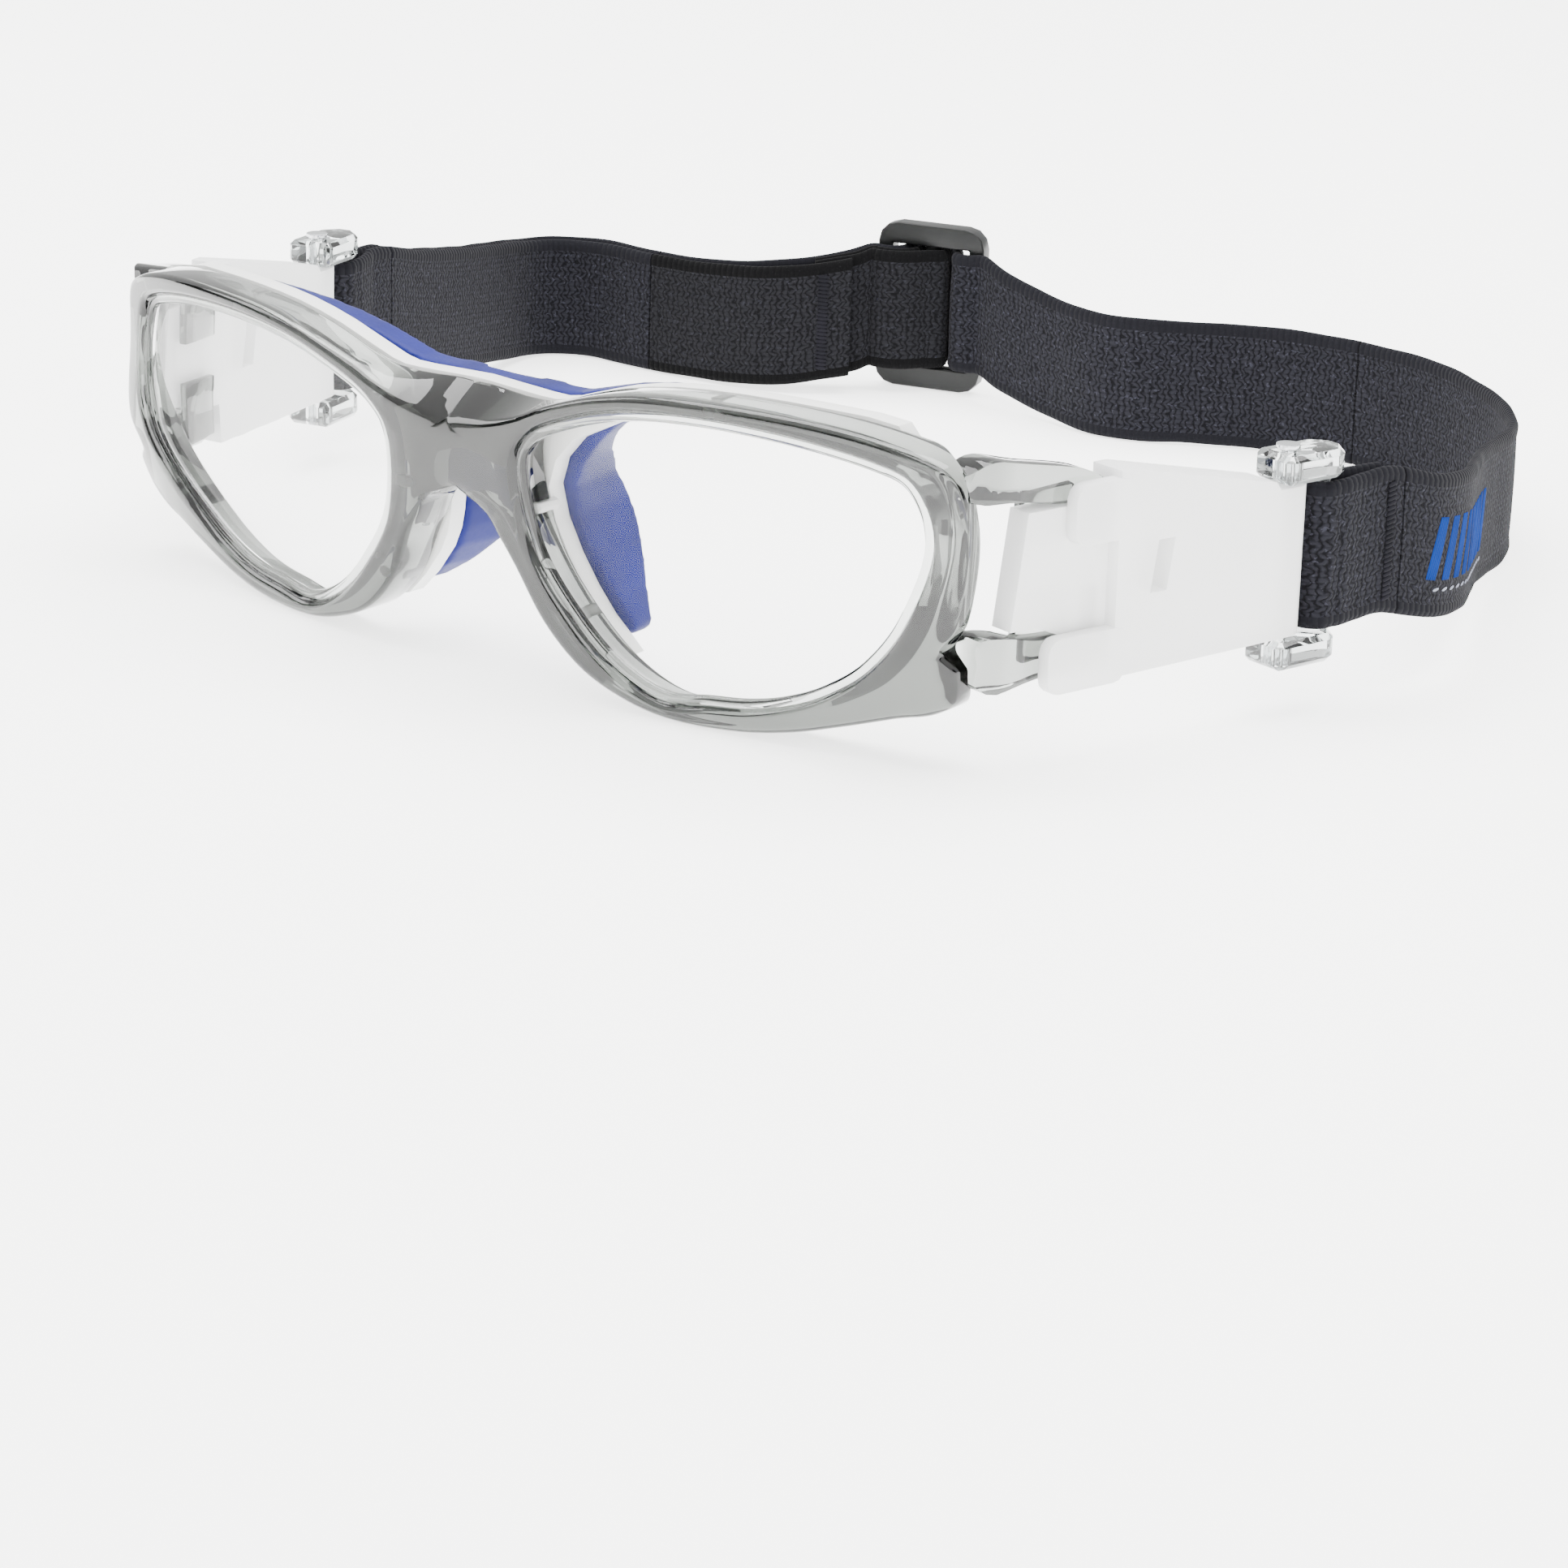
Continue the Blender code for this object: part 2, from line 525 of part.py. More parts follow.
def front_frame():
    """Build the one-piece front: rims, bridge, prongs, hinge pins and the holes for the liner's pegs."""
    rim = prism("front_frame", [rim_loop()], 0.0, FRAME_DEPTH, "smoke")
    past = 2 * MM
    combine(rim, prism("opening", [lens_loop()], -past, FRAME_DEPTH + past), "DIFFERENCE")
    seat = prism("seat", [lens_loop(LENS_LIP + GAP)], LENS_SETBACK, FRAME_DEPTH + past)
    combine(rim, seat, "DIFFERENCE")
    for x, z in peg_places():
        hole = prism("hole", [arc(x, z, PEG_RADIUS + GAP, 0, 360 - 360 / 8, 8)],
                     FRAME_DEPTH - PEG_LENGTH - 2 * GAP, FRAME_DEPTH + past)
        combine(rim, hole, "DIFFERENCE")
    sliced(rim, (0, 6.0 * MM), (2, 5.0 * MM))
    moved(rim, frame_bend)
    upper, lower = prong_sides()
    wall = 0.8 * MM
    combine(rim, set_down(temple_frame(prong("upper_prong", upper, 0.0, (UPPER_PRONG_UNDER - PIN_LENGTH,
            UPPER_PRONG_UNDER + wall), (UPPER_PRONG_UNDER - LUG_DROP, UPPER_PRONG_TOP - 3 * wall),
            (UPPER_PRONG_UNDER + wall, UPPER_PRONG_TOP - 3 * wall)))), "UNION")
    combine(rim, set_down(temple_frame(prong("lower_prong", lower, PRONG_FLARE, (LOWER_PRONG_TOP - wall,
            LOWER_PRONG_TOP + PIN_LENGTH), (LOWER_PRONG_UNDER + wall, LOWER_PRONG_TOP + LUG_DROP),
            (LOWER_PRONG_UNDER + wall, LOWER_PRONG_TOP - wall)))), "UNION")
    return two_sided(rim)


# ---- lenses and liner -------------------------------------------------------------------------------
def lens(name, finish):
    """Return the left lens, cut to sit in its seat behind the lens opening."""
    front = LENS_SETBACK + GAP
    blank = prism(name, [lens_loop(LENS_LIP)], front, front + LENS_THICKNESS, finish)
    sliced(blank, (0, 5.5 * MM), (2, 5.0 * MM))
    return moved(blank, on_face)


def carrier_loop():
    """Return the outline of the carrier's left half: a brow strip with a leg down the nose side."""
    outer = [rim_point(*point) for point in RIM_OUTLINE]
    top = [(0.0, BRIDGE_TOP[0][1] + BRIDGE_RISE), (7.0 * MM, BRIDGE_TOP[1][1] + 0.7 * BRIDGE_RISE),
           (12.5 * MM, outer[0][1] + 0.25 * BRIDGE_RISE), outer[1], outer[2], outer[3], outer[4], outer[5],
           (outer[6][0], outer[6][1])]
    under = [(x, z - CARRIER_HEIGHT) for x, z in reversed(top[4:])]
    leg = [lens_point(0.26, 0.90, 0.0, 1.9), lens_point(0.06, 0.80, 0.0, 0.6),
           lens_point(0.00, 0.62, -1.6, 0.0),
           lens_point(0.04, 0.38, -1.6, 0.0), lens_point(0.12, 0.20, -1.4, -1.0),
           lens_point(0.20, 0.10, -1.8, -1.6), lens_point(0.15, 0.09, -2.9, -1.2),
           lens_point(0.03, 0.26, -3.2, 0.0), lens_point(-0.01, 0.42, -3.6, 0.0),
           lens_point(-0.06, 0.60, -2.4, 0.0)]
    arch = [(5.0 * MM, BRIDGE_ARCH[-1][1] + 3.6 * MM), (0.0, BRIDGE_ARCH[-1][1] + 5.0 * MM)]
    return [tuple(p) for p in smooth_loop(top + under + leg + arch, 2, closed=False)]


def liner_carrier():
    """Build the white carrier behind the frame, with its pegs."""
    front = FRAME_DEPTH + GAP
    strip = prism("liner_carrier", [carrier_loop()], front, front + CARRIER_DEPTH, "white")
    for x, z in peg_places():
        peg = prism("peg", [arc(x, z, PEG_RADIUS, 0, 360 - 360 / 8, 8)], FRAME_DEPTH - PEG_LENGTH,
                    front + 0.6 * MM)
        combine(strip, peg, "UNION")
    sliced(strip, (0, 6.0 * MM))
    moved(strip, on_face)
    return two_sided(strip)


def liner():
    """Build the soft one-piece liner: a brow strip behind the carrier and two wings that rest on the nose."""
    front = FRAME_DEPTH + GAP + CARRIER_DEPTH + GAP
    back = front + LINER_DEPTH
    top = [(0.0, BRIDGE_TOP[0][1] + BRIDGE_RISE - 0.6 * MM), (7.0 * MM, BRIDGE_TOP[1][1] + 0.7 * BRIDGE_RISE),
           lens_point(0.02, 1.00, 0.0, -1.6), lens_point(0.18, 1.00, 0.0, 0.8),
           lens_point(0.37, 1.00, 0.0, 2.2),
           lens_point(0.60, 1.00, 0.0, 2.2), lens_point(0.80, 1.00, 0.0, 0.6)]
    side = [lens_point(0.60, 1.00, 0.0, -1.4), lens_point(0.37, 1.00, 0.0, -1.6),
            lens_point(0.20, 0.92, 0.0, 0.0), lens_point(0.09, 0.82, 0.0, -0.5),
            lens_point(0.02, 0.62, -0.9, 0.0), lens_point(0.05, 0.40, -0.9, 0.0),
            lens_point(0.12, 0.21, -0.6, 0.0), lens_point(0.16, 0.12, -0.8, 0.0),
            lens_point(0.12, 0.10, -2.4, 0.0), lens_point(0.02, 0.26, -2.9, 0.0),
            lens_point(-0.02, 0.42, -3.2, 0.0),
            lens_point(-0.06, 0.60, -2.2, 0.0), (4.0 * MM, BRIDGE_ARCH[-1][1] + 5.2 * MM),
            (0.0, BRIDGE_ARCH[-1][1] + 6.6 * MM)]
    soft = prism("silicone_liner", [[tuple(p) for p in smooth_loop(top + side, 2, closed=False)]],
                 front, back, "blue")
    sliced(soft, (0, 6.0 * MM))
    wing_top, wing_low = lens_point(0.0, 0.86)[1], lens_point(0.0, 0.08)[1]
    wing_edge = lens_point(0.22, 0.0)[0]

    def swell(co):
        """Pull the back of the liner out into the nose wings, and round it along the brow."""
        back_share = (co.y - front) / LINER_DEPTH
        rise = (co.z - wing_low) / (wing_top - wing_low)
        wing = math.sin(math.pi * min(max(rise, 0.0), 1.0)) ** 0.7
        wing *= 1.0 - ease((co.x - 0.6 * wing_edge) / wing_edge)
        narrow = ease(co.x / (0.5 * BRIDGE_GAP))
        brow = 1.4 * MM * ease((co.z - wing_top) / (4 * MM)) * (1.0 - ease(co.x / (2.2 * BRIDGE_GAP)))
        y = co.y + back_share * (WING_DEPTH * wing * narrow + brow)
        x = co.x - back_share * wing * narrow * 1.6 * MM
        return Vector((x, y + face_y(co.x, co.z), co.z))
    moved(soft, swell)
    return two_sided(soft)


# ---- temple pads --------------------------------------------------------------------------------------
PAD_MIDDLE = PAD_THICKNESS / 2 - TONGUE_THICKNESS / 2      # b of the pad body's middle plane
KNUCKLE = PRONG_THICKNESS / 2


def rounded(low_a, high_a, low_z, high_z, radius):
    """Return a rectangle with rounded corners."""
    corners = ((high_a - radius, high_z - radius, 0), (low_a + radius, high_z - radius, 90),
               (low_a + radius, low_z + radius, 180), (high_a - radius, low_z + radius, 270))
    loop = []
    for a, z, start in corners:
        loop += arc(a, z, radius, start, start + 90, 4)
    return loop


def temple_pad(name, finish):
    """Build the left temple pad about its hinge axis: body, tongue between the prongs and two outer ears."""
    inner, outer = -TONGUE_THICKNESS / 2, PAD_THICKNESS - TONGUE_THICKNESS / 2
    ear_inner = KNUCKLE + GAP
    body_front = KNUCKLE + PIN_PLAY
    side = [(body_front, PAD_BOTTOM), (PAD_LENGTH + 2.4 * MM, PAD_BOTTOM + 0.3 * MM),
            (PAD_LENGTH + 2.4 * MM, PAD_REAR_TOP), (PAD_LENGTH - 3.2 * MM, PAD_REAR_TOP),
            (PAD_LENGTH - 4.0 * MM, PAD_REAR_TOP + 1.1 * MM), (body_front + 2 * MM, PAD_FRONT_TOP),
            (body_front, PAD_FRONT_TOP)]
    pad = side_prism(name, side, inner, outer, finish)
    plan = [(inner, 0.0), (outer, 0.0)] + arc(PAD_MIDDLE, PAD_LENGTH - 0.2 * MM, PAD_THICKNESS / 2, 0, 180, 9)
    combine(pad, prism("pad_plan", [plan], 0.0, 1.2 * PAD_FRONT_TOP, upright=False), "INTERSECT")
    tongue_low, tongue_high = LOWER_PRONG_TOP + 1.9 * MM, UPPER_PRONG_UNDER - GAP
    tongue = [(-TONGUE_LENGTH - 1.6 * MM, tongue_low), (-9.0 * MM, tongue_low),
              (-5.0 * MM, LOWER_PRONG_TOP + GAP),
              (body_front + MM, LOWER_PRONG_TOP + GAP), (body_front + MM, tongue_high),
              (-TONGUE_LENGTH + 0.4 * MM, tongue_high)]
    combine(pad, side_prism("tongue", tongue, inner, -inner), "UNION")
    ear_back = body_front + 2 * MM
    upper = rounded(-5.1 * MM, ear_back, UPPER_PRONG_UNDER - 4.9 * MM, PAD_FRONT_TOP - 0.9 * MM, 1.8 * MM)
    lower = rounded(-8.4 * MM, ear_back, PAD_BOTTOM - 0.6 * MM, LOWER_PRONG_TOP + 0.6 * MM, 1.8 * MM)
    for ear in (upper, lower):
        combine(pad, side_prism("ear", ear, ear_inner, ear_inner + EAR_THICKNESS), "UNION")
    bore = PIN_RADIUS + PIN_PLAY
    bore_under = UPPER_PRONG_UNDER - PIN_LENGTH - GAP
    combine(pad, rod("bore_top", (0.0, 0.0), bore, bore_under, 50 * MM), "DIFFERENCE")
    combine(pad, rod("bore_low", (0.0, 0.0), bore, -MM, LOWER_PRONG_TOP + PIN_LENGTH + GAP), "DIFFERENCE")
    bore = BUCKLE_PIN_RADIUS + PIN_PLAY
    combine(pad, rod("bore_back", (PAD_MIDDLE, PAD_LENGTH), bore, -MM, 50 * MM), "DIFFERENCE")
    half = SLOT_WIDTH / 2
    slot_a, slot_z, slope = 9.0 * MM, 22.9 * MM, 0.16
    slot = [(slot_a - half - slope * SLOT_HEIGHT / 2, slot_z - SLOT_HEIGHT / 2),
            (slot_a + half - slope * SLOT_HEIGHT / 2, slot_z - SLOT_HEIGHT / 2),
            (slot_a + half + slope * SLOT_HEIGHT / 2, slot_z + SLOT_HEIGHT / 2),
            (slot_a - half + slope * SLOT_HEIGHT / 2, slot_z + SLOT_HEIGHT / 2)]
    combine(pad, side_prism("slot", slot, inner - MM, outer + MM), "DIFFERENCE")
    return temple_frame(pad)


def temple_place(a, b):
    """Return the plan position of a point given in the left temple's own directions."""
    return Vector((HINGE.x + a * math.sin(SPLAY) + b * math.cos(SPLAY),
                   HINGE.y + a * math.cos(SPLAY) - b * math.sin(SPLAY)))


BUCKLE_AXIS = temple_place(PAD_LENGTH, PAD_MIDDLE)
BAR_PLACE = temple_place(PAD_LENGTH + BAR_SPACING, PAD_MIDDLE)
SLIDER_PLACE = Vector((SLIDER_SHARE * BAR_PLACE.x, BAR_PLACE.y + SLIDER_BEHIND))


def buckle(name, finish):
    """Build the left buckle about its own axis: two end blocks joined by the bar that carries the strap."""
    half = BLOCK_WIDTH / 2
    front, back = -2.6 * MM, BAR_SPACING + BAR_RADIUS + 0.9 * MM
    plan = [(-half, front), (half, front), (half, back - 1.6 * MM), (half - 1.6 * MM, back),
            (-half + 1.6 * MM, back), (-half, back - 1.6 * MM)]
    spans = ((PAD_BOTTOM - GAP - BLOCK_HEIGHT, PAD_BOTTOM - GAP),
             (PAD_REAR_TOP + GAP, PAD_REAR_TOP + GAP + BLOCK_HEIGHT))
    body = rod(name, (0.0, BAR_SPACING), BAR_RADIUS, spans[0][0] + MM, spans[1][1] - MM, finish, 16)
    for low, high in spans:
        end = prism("block", [plan], low, high, upright=False)
        soften(end, 0.7 * MM, 40.0, 1)
        combine(body, end, "UNION")
    bore = rod("pin_hole", (0.0, 0.0), BUCKLE_PIN_RADIUS + PIN_PLAY / 2, -MM, 50 * MM)
    combine(body, bore, "DIFFERENCE")
    body.location = (BUCKLE_AXIS.x, BUCKLE_AXIS.y, 0.0)
    body.rotation_euler.z = -SPLAY
    return body


def buckle_pin(name, finish):
    """Return the pin through the buckle's blocks and the rear edge of the pad, with a low head."""
    top = PAD_REAR_TOP + GAP + BLOCK_HEIGHT
    pin = rod(name, (0.0, 0.0), BUCKLE_PIN_RADIUS, PAD_BOTTOM - GAP - BLOCK_HEIGHT + 0.4 * MM, top + 0.5 * MM,
              finish, 16)
    head_radius = BUCKLE_PIN_RADIUS + 0.6 * MM
    combine(pin, rod("head", (0.0, 0.0), head_radius, top + GAP, top + 0.9 * MM, sides=16), "UNION")
    pin.location = (BUCKLE_AXIS.x, BUCKLE_AXIS.y, 0.0)
    return pin


# ---- strap --------------------------------------------------------------------------------------------
HALF_WEB = STRAP_THICKNESS / 2
TURN_RADIUS = BAR_RADIUS + GAP + HALF_WEB
LAY = STRAP_THICKNESS + 2 * GAP                 # middle to middle of two layers that lie together
SLIDER_ALONG = Vector((math.cos(SLIDER_HEADING), math.sin(SLIDER_HEADING)))
SLIDER_OUT = Vector((SLIDER_ALONG.y, -SLIDER_ALONG.x))
SLIDER_HEIGHT = STRAP_WIDTH + 2 * GAP + 2 * SLIDER_RAIL
WEB_IN_SLIDER = SLIDER_RAIL + GAP
STRAP_BEHIND = SLIDER_THICKNESS / 2 + GAP + HALF_WEB    # strap's middle, inward of the slider's middle
LOOP_RADIUS = SLIDER_BAR_RADIUS + GAP + LOOP_THICKNESS / 2
OVER_RADIUS = LOOP_RADIUS + LOOP_THICKNESS / 2 + GAP + HALF_WEB
FIRST_LEG = HALF_WEB + GAP + LOOP_THICKNESS / 2         # strap's middle to the loop's nearer leg
SECOND_LEG = FIRST_LEG + LOOP_THICKNESS + GAP
LAP = LAY + 2 * (LOOP_THICKNESS + GAP)                  # strap's middle to the hem over the loop's legs


def slider_place(s, n):
    """Return the plan position of a point given along and out of the slider."""
    return SLIDER_PLACE + SLIDER_ALONG * s + SLIDER_OUT * n


def turn_at_bar(side):
    """Return the strap's turn round a buckle bar, from its outer leg to its inner leg, in plan."""
    legs = [(11.0 * MM, LAY / 2), (6.0 * MM, 0.62 * TURN_RADIUS), (2.2 * MM, 0.93 * TURN_RADIUS)]
    local = legs + arc(0.0, 0.0, TURN_RADIUS, 65, 295, 7) + [(a, -b) for a, b in reversed(legs)]
    places = [temple_place(PAD_LENGTH + BAR_SPACING + a, PAD_MIDDLE + b) for a, b in local]
    return [(side * p.x, p.y, STRAP_LOW) for p in places]


def lengths(path):
    """Return the distance along a path at each of its points."""
    total = [0.0]
    for i in range(1, len(path)):
        total.append(total[-1] + (path[i] - path[i - 1]).xy.length)
    return total


def point_at(path, marks, s):
    """Return the point at distance s along the path."""
    s = min(max(s, 0.0), marks[-1])
    for i in range(1, len(path)):
        if marks[i] >= s:
            share = (s - marks[i - 1]) / max(marks[i] - marks[i - 1], 1e-9)
            return path[i - 1].lerp(path[i], share)
    return path[-1].copy()


def beside(path, marks, s, distance):
    """Return a point at that distance to the right of the path at s."""
    run = (point_at(path, marks, s + 1.5 * MM) - point_at(path, marks, s - 1.5 * MM)).xy.normalized()
    here = point_at(path, marks, s)
    return (here.x + run.y * distance, here.y - run.x * distance, here.z)


def route_place(share_x, behind, share_z):
    """Return a route point's place."""
    return (share_x * BAR_PLACE.x, BAR_PLACE.y + behind * MM, share_z * STRAP_LOW)


def main_path():
    """Return the strap's middle line, from the left buckle round the back to the right one."""
    start = list(reversed(turn_at_bar(1.0)))
    middle = STRAP_BEHIND
    weave = [(-9.5 * MM, -middle), (-7.2 * MM, -middle), (-5.3 * MM, 0.1 * MM - middle),
             (-OVER_RADIUS - 0.3 * MM, -1.3 * MM), (-OVER_RADIUS, 0.2 * MM),
             (-0.72 * OVER_RADIUS, 0.72 * OVER_RADIUS),
             (0.0, OVER_RADIUS), (0.74 * OVER_RADIUS, 0.72 * OVER_RADIUS), (OVER_RADIUS + 0.2 * MM, 0.1 * MM),
             (OVER_RADIUS + 0.7 * MM, -1.4 * MM), (OVER_RADIUS + 1.8 * MM, -2.4 * MM), (7.4 * MM, -middle),
             (9.5 * MM, -middle)]
    through = [(*slider_place(s, n), WEB_IN_SLIDER) for s, n in weave]
    left = [route_place(*point) for point in ROUTE_LEFT]
    right = [route_place(*point) for point in ROUTE_RIGHT]
    end = turn_at_bar(-1.0)[:3]
    return smooth_loop(start + left + through + right + end, 6, closed=False)


def band(name, path, thickness, finish, width=STRAP_WIDTH):
    """Build an upright band whose lower edge follows the path."""
    mesh = bpy.data.meshes.new(name)
    obj = new_object(name, mesh, finish)

    def ribbon(bm):
        row = [bm.verts.new(p) for p in path]
        edges = [bm.edges.new(pair) for pair in zip(row, row[1:])]
        up = bmesh.ops.extrude_edge_only(bm, edges=edges)
        raised = [item for item in up["geom"] if isinstance(item, bmesh.types.BMVert)]
        bmesh.ops.translate(bm, vec=(0, 0, width), verts=raised)
        bmesh.ops.recalc_face_normals(bm, faces=bm.faces)
    edit(obj, ribbon)
    wall = obj.modifiers.new("webbing", "SOLIDIFY")
    wall.thickness = thickness
    wall.offset = 0.0
    return baked(obj)


def stretch(path, marks, start, end, step):
    """Return the part of the path between two distances, a half gap in from each."""
    low, high = start + GAP / 2, end - GAP / 2
    count = max(2, round((high - low) / step))
    return [point_at(path, marks, low + (high - low) * i / count) for i in range(count + 1)]


def nearest(path, marks, place):
    """Return the distance along the path of the point nearest to a plan position."""
    best = min(range(len(path)), key=lambda i: (path[i].xy - place).length)
    return marks[best]


def webbing(name, path, marks, start, end, step, thickness=STRAP_THICKNESS):
    """Build one stretch of webbing between two distances along a path."""
    return band(name, stretch(path, marks, start, end, step), thickness, "web")


def tack(name, path, marks, start, offset, side):
    """Build a stitched bar across webbing that lies that far off the path; side is 1 for its right face."""
    face = offset + side * (HALF_WEB + GAP + TACK_THICKNESS / 2)
    ends = [beside(path, marks, start + along, face) for along in (0.0, TACK_LENGTH)]
    raised = [(x, y, z + TACK_MARGIN) for x, y, z in ends]
    return band(name, raised, TACK_THICKNESS, "thread", STRAP_WIDTH - 2 * TACK_MARGIN)


class Strap:
    """The elastic strap's middle line and the distances along it where its stretches part."""

    def __init__(self):
        self.path = main_path()
        self.marks = lengths(self.path)
        outer_side = temple_place(PAD_LENGTH + BAR_SPACING, PAD_MIDDLE + TURN_RADIUS)
        self.seam_left = self.mark(outer_side) + SEAM_BEHIND
        self.back = self.mark(Vector(route_place(*ROUTE_LEFT[BACK_SPLIT])).xy)
        self.slider = self.mark(slider_place(0.0, OVER_RADIUS))
        self.slider_exit = self.mark(slider_place(SLIDER_LENGTH / 2 + 0.7 * MM, -STRAP_BEHIND))
        self.hem = self.slider_exit + HEM_BEHIND
        self.fed = self.mark(Vector(route_place(*ROUTE_RIGHT[FED_SPLIT])).xy)
        self.seam_right = self.marks[-1] - 1.5 * MM

    def mark(self, place):
        """Return the distance along the path nearest to a plan position."""
        return nearest(self.path, self.marks, place)

    def outer_layer(self):
        """Build the outer layer: left buckle, round the back, through the slider, to the right buckle."""
        line = (self.path, self.marks)
        webbing("strap_end_left", *line, 0.0, self.seam_left, 1.6 * MM)
        webbing("strap_run_left", *line, self.seam_left, self.back, 3.2 * MM)
        webbing("strap_back", *line, self.back, self.slider - GAP / 2, 1.2 * MM)
        webbing("strap_feed_right", *line, self.slider + GAP / 2, self.fed, 1.2 * MM)
        webbing("strap_outer_right", *line, self.fed, self.seam_right, 3.2 * MM)
        tack("bar_tack_left", *line, self.seam_left - TACK_BACK, 0.0, 1)

    def inner_layer(self):
        """Build the layer that comes back from the right buckle and ends in a hem on the slider's loop."""
        places = []
        s = self.seam_right - 4.0 * MM
        while s > self.hem:
            spread = 1.0 - ease((s - self.hem - 8.0 * MM) / (14.0 * MM))
            places.append(beside(self.path, self.marks, s, -(LAY + (LAP - LAY) * spread)))
            s -= 5.0 * MM
        places.append(beside(self.path, self.marks, self.hem, -LAP))
        turn = turn_at_bar(-1.0)
        lead = [tuple(self.path[-3]), tuple(self.path[-1])]
        path = smooth_loop(lead + turn[3:-1] + places, 6, closed=False)
        marks = lengths(path)
        seam = nearest(path, marks, Vector(places[1][:2]))
        hem_start = nearest(path, marks, Vector(beside(self.path, self.marks, self.fed + HEM_PAST, -LAY)[:2]))
        webbing("strap_end_right", path, marks, 1.5 * MM, seam, 1.6 * MM)
        webbing("strap_inner_right", path, marks, seam, hem_start, 3.2 * MM)
        webbing("strap_hem_right", path, marks, hem_start, marks[-1], 2.4 * MM)
        tack("bar_tack_right", self.path, self.marks, self.hem + TACK_BACK, -LAP, -1)

    def slider_loop(self):
        """Build the short webbing loop round the slider's middle bar, with its legs laid on the strap."""
        steps = [self.slider_exit + i * 3.0 * MM for i in range(4)]
        outer_leg = [beside(self.path, self.marks, s, -FIRST_LEG) for s in reversed(steps)]
        inner_leg = [beside(self.path, self.marks, s, -SECOND_LEG) for s in steps]
        r = LOOP_RADIUS
        near = [(7.0 * MM, -STRAP_BEHIND - FIRST_LEG), (4.9 * MM, -4.1 * MM), (3.4 * MM, -3.0 * MM),
                (r + 0.25 * MM, -1.6 * MM)]
        near += [(a, b) for a, b in arc(0.0, 0.0, r, 0, 180, 5)]
        near += [(-0.80 * r, -0.72 * r), (-0.1 * MM, -2.6 * MM), (1.1 * MM, -3.8 * MM), (2.7 * MM, -5.1 * MM),
                 (4.8 * MM, -5.9 * MM), (7.0 * MM, -STRAP_BEHIND - SECOND_LEG)]
        around = [(*slider_place(s, n), WEB_IN_SLIDER) for s, n in near]
        path = smooth_loop(outer_leg + around + inner_leg, 4, closed=False)
        marks = lengths(path)
        webbing("slider_loop", path, marks, 0.0, marks[-1], 1.2 * MM, LOOP_THICKNESS)


def slider(name, finish):
    """Build the slider: a frame with two end bars and a round middle bar, drawn about its own middle."""
    half, deep = SLIDER_LENGTH / 2, SLIDER_THICKNESS / 2
    outline = rounded(-half, half, 0.0, SLIDER_HEIGHT, 3.2 * MM)
    window_side = [(-half + SLIDER_END_BAR, SLIDER_RAIL), (half - SLIDER_END_BAR, SLIDER_RAIL),
                   (half - SLIDER_END_BAR, SLIDER_HEIGHT - SLIDER_RAIL),
                   (-half + SLIDER_END_BAR, SLIDER_HEIGHT - SLIDER_RAIL)]
    body = prism(name, [outline, window_side], -deep, deep, finish)
    soften(body, 0.5 * MM, 50.0, 1)
    combine(body, rod("middle_bar", (0.0, 0.0), SLIDER_BAR_RADIUS, SLIDER_RAIL - MM,
                      SLIDER_HEIGHT - SLIDER_RAIL + MM, sides=16), "UNION")
    body.location = (SLIDER_PLACE.x, SLIDER_PLACE.y, 0.0)
    body.rotation_euler.z = SLIDER_HEADING
    return body


def centred():
    """Parent every part to one empty that centres the finished object over its resting place."""
    bpy.context.view_layer.update()
    corners = [part.matrix_world @ Vector(corner) for part in parts.objects for corner in part.bound_box]
    low = [min(corner[i] for corner in corners) for i in range(3)]
    high = [max(corner[i] for corner in corners) for i in range(3)]
    place = bpy.data.objects.new("goggles_place", None)
    for part in parts.objects:
        part.parent = place
    parts.objects.link(place)
    place.location = (-(low[0] + high[0]) / 2, -(low[1] + high[1]) / 2, -low[2])
    bpy.context.view_layer.update()


front_frame()
lens_left = lens("lens_left", "clear")
mirrored(lens_left, "lens_right", "clear")
liner_carrier()
liner()
pad_left = temple_pad("temple_pad_left", "frost")
mirrored(pad_left, "temple_pad_right", "frost")
buckle_left = buckle("buckle_left", "clear")
mirrored(buckle_left, "buckle_right", "clear")
pin_left = buckle_pin("buckle_pin_left", "steel")
mirrored(pin_left, "buckle_pin_right", "steel")
strap = Strap()
strap.outer_layer()
strap.inner_layer()
strap.slider_loop()
slider("slider", "black")
centred()
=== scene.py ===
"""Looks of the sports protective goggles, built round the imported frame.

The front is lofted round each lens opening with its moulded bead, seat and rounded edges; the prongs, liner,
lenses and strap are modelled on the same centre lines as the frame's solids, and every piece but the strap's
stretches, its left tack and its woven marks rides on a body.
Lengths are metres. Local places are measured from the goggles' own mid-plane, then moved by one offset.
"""

import json
import logging
import math
from dataclasses import dataclass, field
from enum import Enum
from typing import Any, Callable, Optional, Sequence

import bmesh
import bpy
import numpy as np
from mathutils import Matrix, Vector


